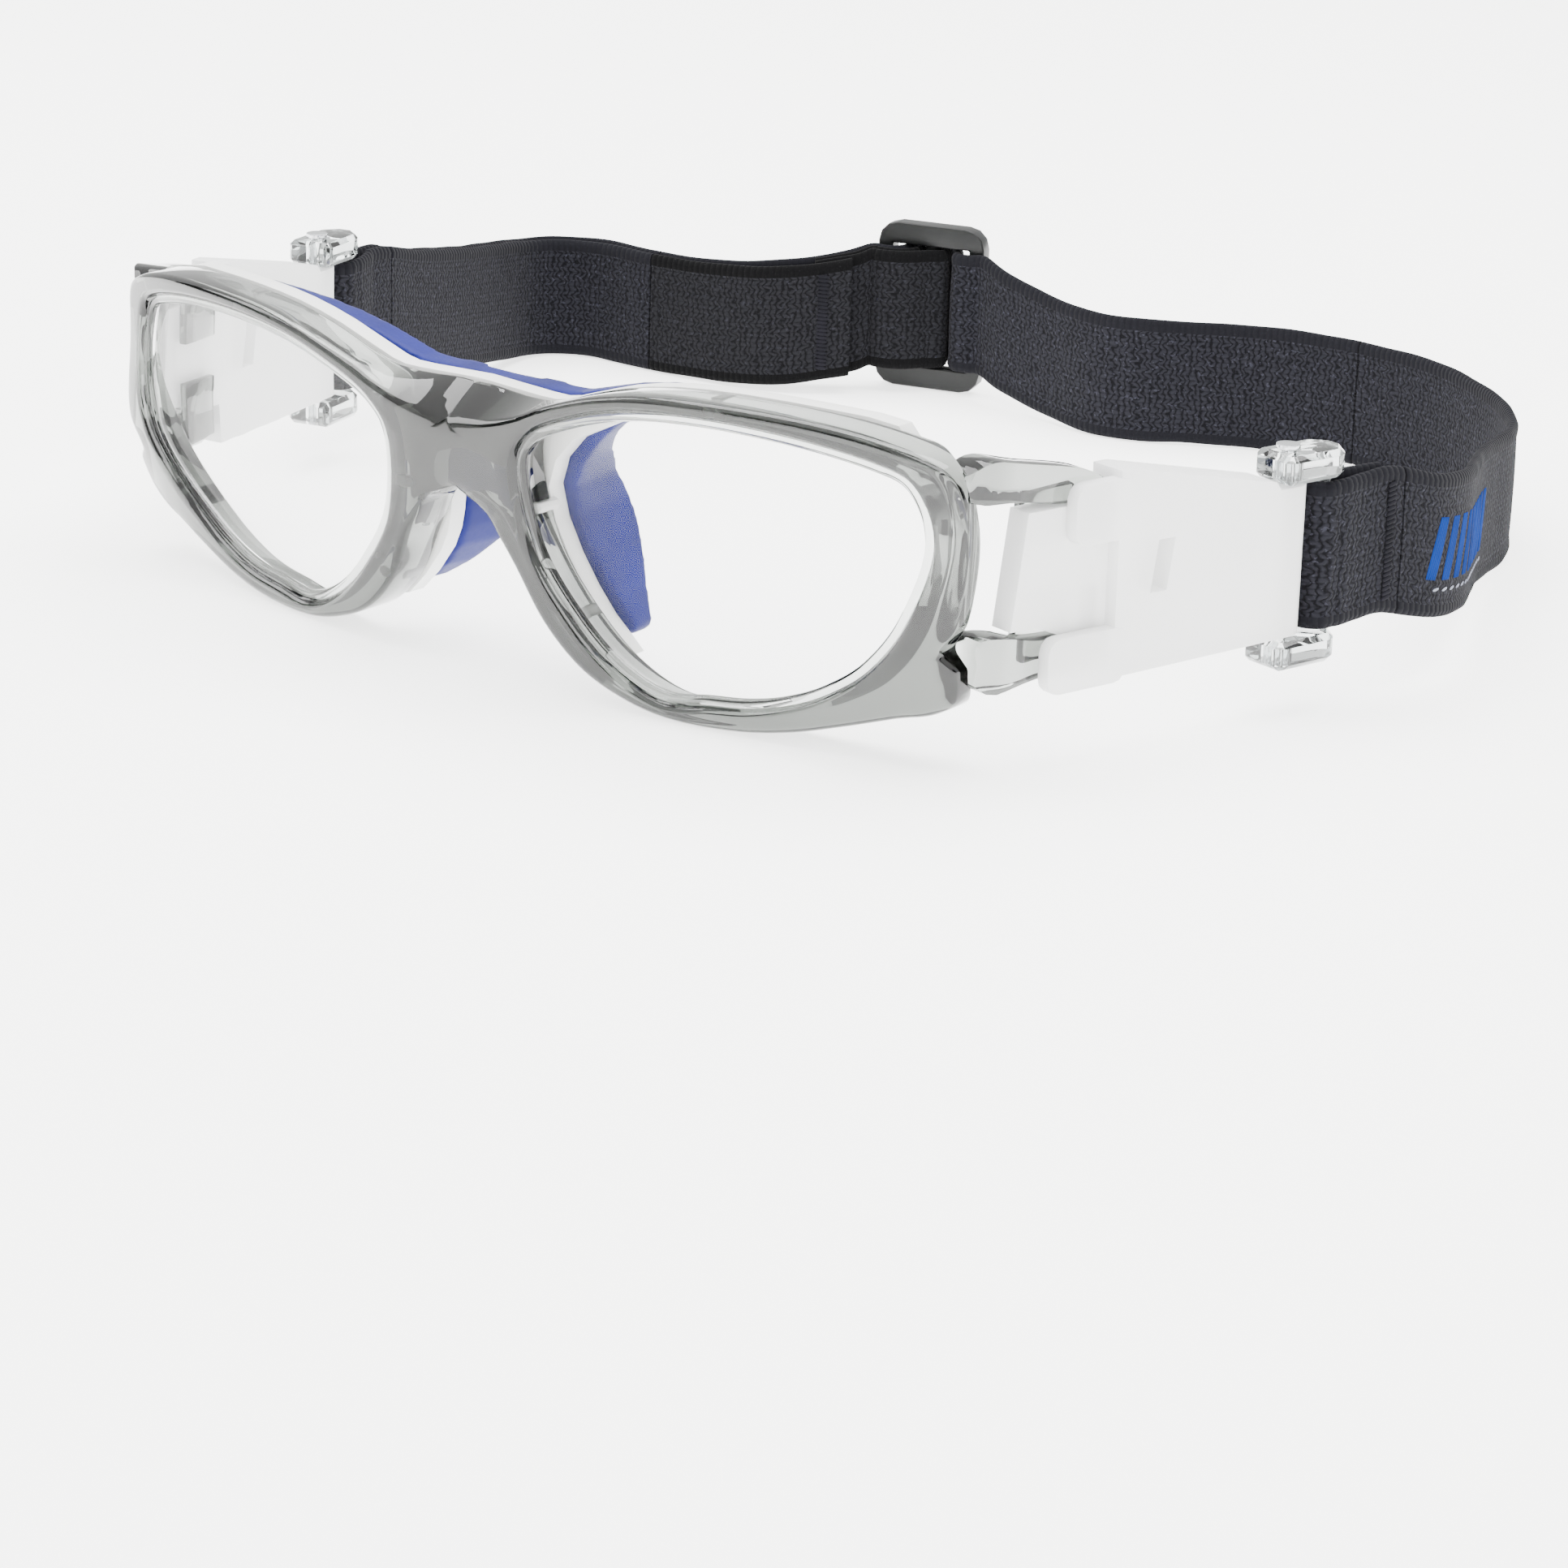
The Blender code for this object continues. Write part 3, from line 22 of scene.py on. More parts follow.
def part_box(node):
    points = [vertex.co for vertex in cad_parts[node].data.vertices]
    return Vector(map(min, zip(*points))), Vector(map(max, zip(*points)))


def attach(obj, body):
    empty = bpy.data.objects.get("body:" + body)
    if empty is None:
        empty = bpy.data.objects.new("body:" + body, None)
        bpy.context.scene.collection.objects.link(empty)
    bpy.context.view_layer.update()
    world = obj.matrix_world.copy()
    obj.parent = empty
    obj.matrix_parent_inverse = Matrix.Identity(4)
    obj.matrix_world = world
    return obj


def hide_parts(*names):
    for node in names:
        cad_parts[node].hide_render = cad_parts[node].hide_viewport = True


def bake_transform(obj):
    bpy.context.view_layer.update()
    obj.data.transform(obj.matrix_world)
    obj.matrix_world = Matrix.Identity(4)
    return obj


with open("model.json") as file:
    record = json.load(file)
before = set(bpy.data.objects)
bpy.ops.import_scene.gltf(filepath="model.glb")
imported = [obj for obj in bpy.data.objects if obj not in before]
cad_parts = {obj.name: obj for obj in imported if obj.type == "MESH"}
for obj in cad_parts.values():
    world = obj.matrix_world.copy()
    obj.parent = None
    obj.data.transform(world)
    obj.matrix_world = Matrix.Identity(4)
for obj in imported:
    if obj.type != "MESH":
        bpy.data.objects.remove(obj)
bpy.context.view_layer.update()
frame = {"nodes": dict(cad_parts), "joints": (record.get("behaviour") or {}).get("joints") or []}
LOG = logging.getLogger("goggles")
MM = 0.001
Point2 = tuple[float, float]
Point3 = tuple[float, float, float]


# ---- nodes and finishes -----------------------------------------------------------------------------
def linear(code: str) -> tuple[float, float, float, float]:
    """Turn an sRGB hex code into a linear colour.

    Args:
        code: Six hex digits after a hash.

    Returns:
        Linear red, green, blue and an alpha of 1.
    """
    parts = [int(code[i:i + 2], 16) / 255 for i in (1, 3, 5)]
    return (*(c / 12.92 if c <= 0.04045 else ((c + 0.055) / 1.055) ** 2.4 for c in parts), 1.0)


def add_node(tree: bpy.types.NodeTree, kind: str, settings: dict[str, Any], inputs: dict[Any, Any]) -> Any:
    """Add a node, set its properties, and set or link its inputs.

    Args:
        tree: The node tree.
        kind: The node's type name, without its ShaderNode prefix.
        settings: Property values by name.
        inputs: Values or output sockets by the input's name or number.

    Returns:
        The new node.
    """
    node = tree.nodes.new("ShaderNode" + kind)
    for name, value in settings.items():
        setattr(node, name, value)
    for name, value in inputs.items():
        if isinstance(value, bpy.types.NodeSocket):
            tree.links.new(value, node.inputs[name])
        else:
            node.inputs[name].default_value = value
    return node


def ramp_of(tree: bpy.types.NodeTree, factor: Any, stops: Sequence[tuple[float, str]]) -> Any:
    """Add a colour ramp over a factor.

    Args:
        tree: The node tree.
        factor: The socket that drives the ramp.
        stops: Positions and hex colours.

    Returns:
        The ramp's colour output.
    """
    node = add_node(tree, "ValToRGB", {}, {"Fac": factor})
    elements = node.color_ramp.elements
    while len(elements) < len(stops):
        elements.new(0.5)
    for element, (place, code) in zip(elements, stops):
        element.position = place
        element.color = linear(code)
    return node.outputs["Color"]


@dataclass(frozen=True)
class Finish:
    """A material of the goggles: a named surface that fills a node tree."""

    label: str

    def build(self) -> bpy.types.Material:
        """Return the material, made the first time it is asked for."""
        found = bpy.data.materials.get(self.label)
        if found:
            return found
        made = bpy.data.materials.new(self.label)
        made.use_nodes = True
        tree = made.node_tree
        self.fill(tree, tree.nodes["Principled BSDF"], tree.nodes["Material Output"])
        return made

    def fill(self, tree: bpy.types.NodeTree, shader: Any, output: Any) -> None:
        """Set the shader; each finish has its own."""
        raise NotImplementedError

    def roughness_noise(self, tree: bpy.types.NodeTree, shader: Any, grain_mm: float, low: float, high: float,
                        bump_mm: float) -> None:
        """Vary the roughness and add a fine bump from one noise.

        Args:
            tree: The node tree.
            shader: The Principled shader.
            grain_mm: Size of the grain.
            low: Lowest roughness.
            high: Highest roughness.
            bump_mm: Height of the bump.
        """
        place = add_node(tree, "TexCoord", {}, {})
        noise = add_node(tree, "TexNoise", {}, {
            "Vector": place.outputs["Object"], "Scale": 1.0 / (grain_mm * MM), "Detail": 3.0})
        spread = add_node(tree, "MapRange", {}, {
            "Value": noise.outputs["Fac"], "To Min": low, "To Max": high})
        tree.links.new(spread.outputs["Result"], shader.inputs["Roughness"])
        bump = add_node(tree, "Bump", {}, {
            "Height": noise.outputs["Fac"], "Strength": 1.0, "Distance": bump_mm * MM})
        tree.links.new(bump.outputs["Normal"], shader.inputs["Normal"])


@dataclass(frozen=True)
class ClearPlastic(Finish):
    """A clear moulded plastic: it bends what lies behind it, and darkens with its thickness."""

    tint: str
    depth_tint: str
    density: float
    ior: float
    roughness: float = 0.02
    mirror: float = 0.5

    def fill(self, tree: bpy.types.NodeTree, shader: Any, output: Any) -> None:
        """Set a smooth refracting surface with an absorbing body."""
        shader.inputs["Base Color"].default_value = linear(self.tint)
        shader.inputs["Transmission Weight"].default_value = 1.0
        shader.inputs["IOR"].default_value = self.ior
        shader.inputs["Specular IOR Level"].default_value = self.mirror
        self.roughness_noise(tree, shader, 6.0, 0.5 * self.roughness, 1.5 * self.roughness, 0.004)
        if self.density > 0:
            body = add_node(tree, "VolumeAbsorption", {}, {
                "Color": linear(self.depth_tint), "Density": self.density})
            tree.links.new(body.outputs["Volume"], output.inputs["Volume"])


@dataclass(frozen=True)
class Moulded(Finish):
    """An opaque or milky moulded plastic or rubber with a fine moulded grain."""

    colour: str
    shade: str
    roughness: float
    grain_mm: float
    bump_mm: float
    milky: float = 0.0
    glow: float = 0.0
    mirror: float = 0.5

    def fill(self, tree: bpy.types.NodeTree, shader: Any, output: Any) -> None:
        """Set a moulded skin with slight mottling, and light that enters it where it is milky."""
        place = add_node(tree, "TexCoord", {}, {})
        cloud = add_node(tree, "TexNoise", {}, {
            "Vector": place.outputs["Object"], "Scale": 1.0 / (9.0 * MM), "Detail": 4.0})
        mottled = ramp_of(tree, cloud.outputs["Fac"], [(0.3, self.shade), (0.7, self.colour)])
        tree.links.new(mottled, shader.inputs["Base Color"])
        shader.inputs["Transmission Weight"].default_value = self.milky
        shader.inputs["IOR"].default_value = 1.47
        shader.inputs["Subsurface Weight"].default_value = self.glow
        shader.inputs["Subsurface Radius"].default_value = (1.0, 1.0, 1.0)
        shader.inputs["Subsurface Scale"].default_value = 2.0 * MM
        shader.inputs["Specular IOR Level"].default_value = self.mirror
        self.roughness_noise(tree, shader, self.grain_mm, 0.85 * self.roughness, 1.15 * self.roughness,
                             self.bump_mm)


@dataclass(frozen=True)
class Metal(Finish):
    """A turned steel pin with faint rings."""

    colour: str
    roughness: float

    def fill(self, tree: bpy.types.NodeTree, shader: Any, output: Any) -> None:
        """Set a bright metal whose polish varies slightly."""
        shader.inputs["Base Color"].default_value = linear(self.colour)
        shader.inputs["Metallic"].default_value = 1.0
        self.roughness_noise(tree, shader, 0.4, 0.8 * self.roughness, 1.3 * self.roughness, 0.005)


@dataclass(frozen=True)
class Knit(Finish):
    """Knitted elastic webbing: slanted stitches between two ribbed edge cords, with painted shade in the
    grooves between the stitches.
    """

    yarn: str
    # Colour of the grooves between stitches: painted shade, not a yarn colour.
    painted_groove_shade: str
    edge: str
    fleck: str
    width: float
    stitch_mm: float = 0.95
    edge_mm: float = 1.7

    def fill(self, tree: bpy.types.NodeTree, shader: Any, output: Any) -> None:
        """Draw rows of slanted stitches from lengths along and across the band, in millimetres."""
        lay = add_node(tree, "UVMap", {"uv_map": "lay"}, {})
        split = add_node(tree, "SeparateXYZ", {}, {"Vector": lay.outputs["UV"]})
        along, across = split.outputs["X"], split.outputs["Y"]

        def math_node(operation: str, first: Any, second: Any = 0.0, third: Any = 0.0) -> Any:
            """Add one arithmetic step and return its output."""
            step = add_node(tree, "Math", {"operation": operation}, {0: first, 1: second, 2: third})
            return step.outputs[0]

        # Wales run along the band. Every stitch leans across its wale, to the other side in each next one.
        wale = math_node("DIVIDE", across, 0.8 * self.stitch_mm * MM)
        side = math_node("PINGPONG", wale, 1.0)
        lean = math_node("MULTIPLY_ADD", side, 0.55, math_node("DIVIDE", along, self.stitch_mm * MM))
        wobble = add_node(tree, "TexNoise", {}, {
            "Vector": lay.outputs["UV"], "Scale": 1.0 / (1.3 * MM), "Detail": 2.0})
        course = math_node("MULTIPLY_ADD", wobble.outputs["Fac"], 2.2, lean)
        ridge = math_node("ABSOLUTE", math_node("SINE", math_node("MULTIPLY", course, math.pi)))
        groove = math_node("ABSOLUTE", math_node("SINE", math_node("MULTIPLY", wale, math.pi)))
        stitch = math_node("MULTIPLY", ridge, math_node("MULTIPLY_ADD", groove, 0.5, 0.5))

        # The edge cords are denser, with ribs straight across.
        middle = math_node("ABSOLUTE", math_node("SUBTRACT", across, self.width / 2))
        cord = math_node("GREATER_THAN", middle, self.width / 2 - self.edge_mm * MM)
        rib = math_node("ABSOLUTE", math_node("SINE", math_node("DIVIDE", along, 0.32 * MM)))
        height = math_node("ADD", math_node("MULTIPLY", stitch, math_node("SUBTRACT", 1.0, cord)),
                           math_node("MULTIPLY", rib, cord))

        # The stitch colour runs from painted shade in the low grooves to the yarn colour on the raised
        # stitches.
        knit = ramp_of(tree, stitch, [(0.15, self.painted_groove_shade), (0.75, self.yarn)])
        speck = add_node(tree, "TexNoise", {}, {
            "Vector": lay.outputs["UV"], "Scale": 1.0 / (0.7 * MM), "Detail": 3.0})
        lit = math_node("GREATER_THAN", speck.outputs["Fac"], 0.63)
        flecked = add_node(tree, "Mix", {"data_type": "RGBA"}, {
            0: math_node("MULTIPLY", lit, 0.55), 6: knit, 7: linear(self.fleck)})
        corded = add_node(tree, "Mix", {"data_type": "RGBA"}, {
            0: cord, 6: flecked.outputs[2], 7: linear(self.edge)})
        tree.links.new(corded.outputs[2], shader.inputs["Base Color"])
        shader.inputs["Roughness"].default_value = 0.92
        shader.inputs["Specular IOR Level"].default_value = 0.06
        shader.inputs["Sheen Weight"].default_value = 0.02
        shader.inputs["Sheen Roughness"].default_value = 0.5
        bump = add_node(tree, "Bump", {}, {"Height": height, "Strength": 0.9, "Distance": 0.16 * MM})
        tree.links.new(bump.outputs["Normal"], shader.inputs["Normal"])


STRAP_WIDTH = 18.8 * MM
EDGE_CORD = 1.7 * MM
SECTION_STEP = 0.45 * MM

# Smoke polycarbonate, injection moulded: glassy, grey where it is thick, with dark lines at its edges.
SMOKE = ClearPlastic("moulded_smoke_polycarbonate", "#eef0ee", "#858a85", 420.0, 1.586)
# Coated polycarbonate lens: the coating kills most of the reflection, so its IOR is far under 1.586.
LENS = ClearPlastic("coated_clear_polycarbonate", "#ffffff", "#eef4f1", 0.0, 1.16, 0.0)
# Clear polycarbonate of the buckles: thick little blocks with bright corners.
BUCKLE = ClearPlastic("moulded_clear_polycarbonate", "#f2f4f4", "#c9cdcd", 120.0, 1.586)
# White ABS: dense, slightly glossy.
CARRIER = Moulded("moulded_white_abs", "#f4f4f2", "#ecece9", 0.33, 0.7, 0.004, glow=0.15)
# Royal blue silicone: satin, soft, a little light inside.
SILICONE = Moulded("satin_blue_silicone", "#1a206c", "#141958", 0.46, 0.5, 0.010, glow=0.03, mirror=0.14)
# Frosted soft TPU: milky and satin, so that what lies behind shows as a soft shade.
FROST = Moulded("frosted_tpu", "#ffffff", "#fbfbfa", 0.52, 0.6, 0.006, milky=0.32, glow=0.4)
# Black acetal of the slider: dark, with a soft gloss on its rounded edges.
ACETAL = Moulded("moulded_black_acetal", "#151616", "#0f1010", 0.34, 0.5, 0.006, mirror=0.3)
STEEL = Metal("turned_steel", "#d5d7d9", 0.22)
# Knitted elastic: stitches are 0.95 mm long, drawn somewhat coarser than real ones so that they show.
# The second colour of each knit is painted shade for the grooves between its stitches.
WEBBING = Knit("charcoal_knitted_elastic", "#202025", "#0c0c0f", "#151519", "#34343d", STRAP_WIDTH)
LOOP_WEB = Knit("black_knitted_elastic", "#1c1c1f", "#0b0b0d", "#09090a", "#28282e", STRAP_WIDTH)
# Polyester thread and the woven-in bars.
THREAD = Moulded("twisted_polyester_thread", "#1b1a20", "#111115", 0.75, 0.25, 0.03, mirror=0.08)
BLUE_YARN = Moulded("woven_blue_yarn", "#0f2f74", "#0b2255", 0.85, 0.3, 0.03, mirror=0.06)
WHITE_YARN = Moulded("woven_white_yarn", "#9598a4", "#6f7280", 0.85, 0.3, 0.03, mirror=0.06)


# ---- the goggles' own measures ------------------------------------------------------------------------
def ease(t: float) -> float:
    """Return a smooth 0 to 1 step."""
    t = min(max(t, 0.0), 1.0)
    return t * t * (3 - 2 * t)


@dataclass(frozen=True)
class Measures:
    """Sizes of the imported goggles, from which every visible piece takes its place."""

    lens_width: float = 52.9 * MM
    lens_height: float = 35.7 * MM
    bridge_gap: float = 23.4 * MM
    rim_bottom: float = 3.0 * MM
    rim_temple: float = 4.8 * MM
    frame_depth: float = 7.0 * MM
    temple_depth: float = 2.8 * MM
    wrap: float = 0.2105
    sag: float = 4.27
    lean: float = 0.1746
    face_flat: float = 13.0 * MM
    bridge_rise: float = 4.6 * MM
    bow: float = 3.0 * MM
    hinge_back: float = 18.9 * MM
    hinge_out: float = 4.3 * MM
    splay: float = math.radians(13.8)
    pad_length: float = 31.0 * MM
    pad_middle: float = 0.9 * MM
    bar_spacing: float = 5.9 * MM
    bar_radius: float = 1.2 * MM
    strap_low: float = 10.3 * MM
    gap: float = 0.3 * MM

    @property
    def lens_x(self) -> float:
        """Distance of a lens centre from the mid-plane."""
        return self.bridge_gap / 2 + self.lens_width / 2

    @property
    def lens_z(self) -> float:
        """Height of the lens centres."""
        return self.rim_bottom + 0.436 * self.lens_height

    @property
    def lens_top(self) -> float:
        """Height of the top of the lens openings."""
        return self.rim_bottom + self.lens_height

    @property
    def temple_x(self) -> float:
        """Distance of the temple edge from the mid-plane."""
        return self.bridge_gap / 2 + self.lens_width + self.rim_temple

    def face_y(self, x: float, z: float) -> float:
        """Return where the curved face surface lies in Y."""
        u = max(abs(x), self.face_flat) - self.lens_x
        height = (z - self.rim_bottom - 0.41 * self.lens_height) / (0.27 * self.lens_height)
        bowed = self.bow * ease(u / (self.lens_width / 2 + self.rim_temple)) * math.exp(-height ** 2)
        return self.wrap * u + self.sag * u * u - self.lean * (z - self.lens_z) - bowed

    @property
    def hinge(self) -> Vector:
        """Plan position of the left hinge axis."""
        return Vector((self.temple_x + self.hinge_out,
                       self.hinge_back + self.face_y(self.temple_x, 0.55 * self.lens_top)))

    def temple(self, a: float, b: float) -> Vector:
        """Return the plan position of a point given along and across the left temple."""
        return Vector((self.hinge.x + a * math.sin(self.splay) + b * math.cos(self.splay),
                       self.hinge.y + a * math.cos(self.splay) - b * math.sin(self.splay)))

    @property
    def bar(self) -> Vector:
        """Plan position of the left buckle's bar."""
        return self.temple(self.pad_length + self.bar_spacing, self.pad_middle)

    @property
    def place(self) -> Vector:
        """Offset from the local places to the row frame, from the frame's own joints and boxes."""
        hinge = next(joint for joint in frame["joints"] if joint["name"] == "temple_left")["pos_m"]
        return Vector((hinge[0] - self.hinge.x, hinge[1] - self.hinge.y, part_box("slider")[0][2]))


M = Measures()
LENS_OUTLINE = [(0.00, 0.70), (0.03, 0.44), (0.125, 0.23), (0.225, 0.09), (0.34, 0.015), (0.46, 0.03),
                (0.56, 0.045), (0.65, 0.08), (0.745, 0.145), (0.85, 0.26), (0.945, 0.44), (0.995, 0.68),
                (0.965, 0.86), (0.895, 0.925), (0.715, 0.98), (0.50, 1.00), (0.30, 0.975), (0.135, 0.90),
                (0.04, 0.82)]
RIM_OUTLINE = [(0.00, 1.00, 0.0, -3.0), (0.09, 1.00, 0.0, -0.8), (0.22, 1.00, 0.0, 1.5),
               (0.37, 1.00, 0.0, 3.0), (0.54, 1.00, 0.0, 3.4), (0.73, 1.00, 0.0, 3.0),
               (0.88, 1.00, 0.0, 1.9), (0.985, 1.00, 1.0, 0.0), (1.00, 0.93, 3.6, 0.0),
               (1.00, 0.78, 4.8, 0.0), (1.00, 0.60, 5.0, 0.0), (1.00, 0.44, 4.2, 0.0),
               (0.985, 0.335, 2.6, 0.0), (1.00, 0.275, 3.4, 0.0), (1.00, 0.17, 2.6, -0.3),
               (0.97, 0.11, 1.0, -0.5), (0.90, 0.09, 0.5, -0.9),
               (0.79, 0.05, 0.0, -1.5), (0.66, 0.02, 0.0, -2.4), (0.53, 0.00, 0.0, -2.8),
               (0.37, 0.00, 0.0, -3.0), (0.25, 0.02, 0.0, -2.6), (0.13, 0.09, -0.4, -2.2),
               (0.04, 0.21, -1.0, -1.4), (0.00, 0.35, -2.6, 0.0), (0.00, 0.44, -4.6, 0.0)]


def lens_point(share_x: float, share_z: float, dx: float = 0.0, dz: float = 0.0) -> Point2:
    """Return a point by its share of the lens opening plus an offset in millimetres."""
    return (M.bridge_gap / 2 + share_x * M.lens_width + dx * MM,
            M.rim_bottom + share_z * M.lens_height + dz * MM)


BRIDGE_TOP = [(0.0, M.lens_top - 6.0 * MM), (0.26 * M.bridge_gap, M.lens_top - 4.9 * MM)]
BRIDGE_ARCH = [(0.2 * M.bridge_gap, M.lens_z + 3.6 * MM), (0.0, M.lens_z + 5.8 * MM)]


# ---- mesh helpers ---------------------------------------------------------------------------------------
def smooth_line(points: Sequence[Sequence[float]], steps: int, closed: bool = False) -> np.ndarray:
    """Return a Catmull-Rom curve through the points.

    Args:
        points: The points, with any number of coordinates.
        steps: Steps in each span.
        closed: Whether the curve returns to its start.

    Returns:
        One row for each point of the curve.
    """
    pts = np.array(points, float)
    count = len(pts)
    spans = count if closed else count - 1
    rows = []
    for i in range(spans):
        if closed:
            p0, p1, p2, p3 = (pts[(i + k - 1) % count] for k in range(4))
        else:
            p0, p1, p2, p3 = (pts[min(max(i + k - 1, 0), count - 1)] for k in range(4))
        for j in range(steps):
            t = j / steps
            rows.append(0.5 * (2 * p1 + (p2 - p0) * t + (2 * p0 - 5 * p1 + 4 * p2 - p3) * t ** 2
                               + (3 * p1 - p0 - 3 * p2 + p3) * t ** 3))
    if not closed:
        rows.append(pts[-1])
    return np.array(rows)


def piece_from(name: str, points: Sequence[Sequence[float]], faces: Sequence[Sequence[int]], finish: Finish,
               local: bool = True) -> bpy.types.Object:
    """Make a smooth-shaded piece from points and faces.

    Args:
        name: The piece's name.
        points: Its corners.
        faces: Corner numbers of each face.
        finish: Its material.
        local: Whether the points are local, so that the goggles' offset is added.

    Returns:
        The piece, in the row frame.
    """
    mesh = bpy.data.meshes.new(name)
    shift = M.place if local else Vector()
    mesh.from_pydata([Vector(p) + shift for p in points], [], [list(f) for f in faces])
    mesh.validate()
    obj = bpy.data.objects.new(name, mesh)
    bpy.context.scene.collection.objects.link(obj)
    obj.data.materials.append(finish.build())
    return obj


def edit(obj: bpy.types.Object, work: Callable[[bmesh.types.BMesh], None]) -> bpy.types.Object:
    """Run a change on the object's mesh and return the object."""
    bm = bmesh.new()
    bm.from_mesh(obj.data)
    work(bm)
    bm.to_mesh(obj.data)
    bm.free()
    return obj


def baked(obj: bpy.types.Object) -> bpy.types.Object:
    """Apply the object's modifiers to its mesh."""
    bpy.context.view_layer.update()
    mesh = bpy.data.meshes.new_from_object(obj.evaluated_get(bpy.context.evaluated_depsgraph_get()))
    obj.modifiers.clear()
    obj.data = mesh
    return obj


def shade(obj: bpy.types.Object, angle: float = 35.0) -> bpy.types.Object:
    """Shade smooth, with edges sharper than the angle kept."""
    obj.data.shade_smooth()
    obj.data.set_sharp_from_angle(angle=math.radians(angle))
    return obj


def outward(obj: bpy.types.Object) -> bpy.types.Object:
    """Turn all faces outward."""
    return edit(obj, lambda bm: bmesh.ops.recalc_face_normals(bm, faces=bm.faces))


def combine(target: bpy.types.Object, other: bpy.types.Object, operation: str) -> bpy.types.Object:
    """Boolean another object into the target and drop the other one."""
    step = target.modifiers.new(operation.lower(), "BOOLEAN")
    step.operation = operation
    step.solver = "EXACT"
    step.object = other
    baked(target)
    bpy.data.objects.remove(other, do_unlink=True)
    return target


def rounded(obj: bpy.types.Object, width: float, segments: int = 3, angle: float = 30.0) -> bpy.types.Object:
    """Round the edges that are sharper than the angle."""
    step = obj.modifiers.new("edge_round", "BEVEL")
    step.width = width
    step.segments = segments
    step.limit_method = "ANGLE"
    step.angle_limit = math.radians(angle)
    return baked(obj)


def refined_copy(node: str, finish: Finish, width: float, segments: int = 3,
                 angle: float = 30.0) -> bpy.types.Object:
    """Copy a frame node as a piece with clean, rounded edges.

    Args:
        node: The node's name.
        finish: The piece's material.
        width: Width of the rounded edges.
        segments: Facets across each rounded edge.
        angle: Edges flatter than this stay as they are, in degrees.

    Returns:
        The piece, which stands for the node.
    """
    obj = bpy.data.objects.new(node + "_finished", frame["nodes"][node].data.copy())
    bpy.context.scene.collection.objects.link(obj)
    obj.data.materials.clear()
    obj.data.materials.append(finish.build())

    def clean(bm: bmesh.types.BMesh) -> None:
        """Weld the corners and join the flat facets."""
        bmesh.ops.remove_doubles(bm, verts=bm.verts, dist=0.00001)
        bmesh.ops.dissolve_limit(bm, angle_limit=math.radians(2.0), verts=bm.verts, edges=bm.edges)
    edit(obj, clean)
    rounded(obj, width, segments, angle)
    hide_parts(node)
    return shade(obj, 40.0)


def mirrored_copy(obj: bpy.types.Object, name: str) -> bpy.types.Object:
    """Return a copy of a piece on the other side of the goggles' mid-plane."""
    mesh = obj.data.copy()
    middle = M.place.x
    mesh.transform(Matrix.Translation((2 * middle, 0, 0)) @ Matrix.Diagonal((-1.0, 1.0, 1.0, 1.0)))
    mesh.flip_normals()
    other = bpy.data.objects.new(name, mesh)
    bpy.context.scene.collection.objects.link(other)
    return other


def report(obj: bpy.types.Object, body: str) -> bpy.types.Object:
    """Let a finished piece ride on a body and log it."""
    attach(obj, body)
    LOG.info("%s rides on %s, %d faces", obj.name, body, len(obj.data.polygons))
    return obj


class Axis(Enum):
    """The way an outline is extruded."""

    UP = "up"
    ACROSS = "across"


def arc_points(x: float, y: float, radius: float, start: float, end: float, count: int) -> list[Point2]:
    """Return points on an arc, angles in degrees."""
    turns = [math.radians(start + (end - start) * i / (count - 1)) for i in range(count)]
    return [(x + radius * math.cos(a), y + radius * math.sin(a)) for a in turns]


def smooth_corners(outline: Sequence[Point2], share: float = 0.22) -> list[Point2]:
    """Cut each corner of an outline twice, so that it turns softly.

    Args:
        outline: A closed outline.
        share: The share of each side that a corner takes.

    Returns:
        The softer outline.
    """
    points = [Vector(p) for p in outline]
    for _ in range(2):
        softer = []
        for i, here in enumerate(points):
            softer += [here.lerp(points[i - 1], share), here.lerp(points[(i + 1) % len(points)], share)]
        points = softer
    return [tuple(p) for p in points]


def extruded(name: str, outline: Sequence[Point2], low: float, high: float, axis: Axis) -> bpy.types.Object:
    """Extrude a closed outline between two levels, about the local origin.

    Args:
        name: Name of the solid.
        outline: Corners of the outline.
        low: Lower level.
        high: Upper level.
        axis: UP reads the outline as x, y, and ACROSS as y, z.

    Returns:
        The closed solid.
    """
    place = {Axis.UP: lambda u, v, w: (u, v, w), Axis.ACROSS: lambda u, v, w: (w, u, v)}[axis]
    count = len(outline)
    points = [place(u, v, low) for u, v in outline] + [place(u, v, high) for u, v in outline]
    sides = [[i, (i + 1) % count, count + (i + 1) % count, count + i] for i in range(count)]
    ends = [list(range(count)), list(range(2 * count - 1, count - 1, -1))]
    return outward(piece_from(name, points, sides + ends, SMOKE, local=False))


def joined(pieces: Sequence[bpy.types.Object]) -> bpy.types.Object:
    """Join the meshes of several objects into the first one."""
    bm = bmesh.new()
    for piece in pieces:
        bm.from_mesh(piece.data)
    bm.to_mesh(pieces[0].data)
    bm.free()
    for piece in pieces[1:]:
        bpy.data.objects.remove(piece, do_unlink=True)
    return pieces[0]


# ---- front frame ------------------------------------------------------------------------------------------
def distance_to(points: np.ndarray, line: np.ndarray, closed: bool) -> np.ndarray:
    """Return the distance from each point to a line of short segments.

    Args:
        points: Rows of x, z.
        line: Rows of x, z.
        closed: Whether the line returns to its start.

    Returns:
        One distance for each point.
    """
    ends = np.vstack([line, line[:1]]) if closed else line
    start, run = ends[:-1], ends[1:] - ends[:-1]
    share = ((points[:, None, :] - start) * run).sum(2) / np.maximum((run * run).sum(1), 1e-15)
    near = start + np.clip(share, 0, 1)[:, :, None] * run
    return np.sqrt(((points[:, None, :] - near) ** 2).sum(2)).min(1)


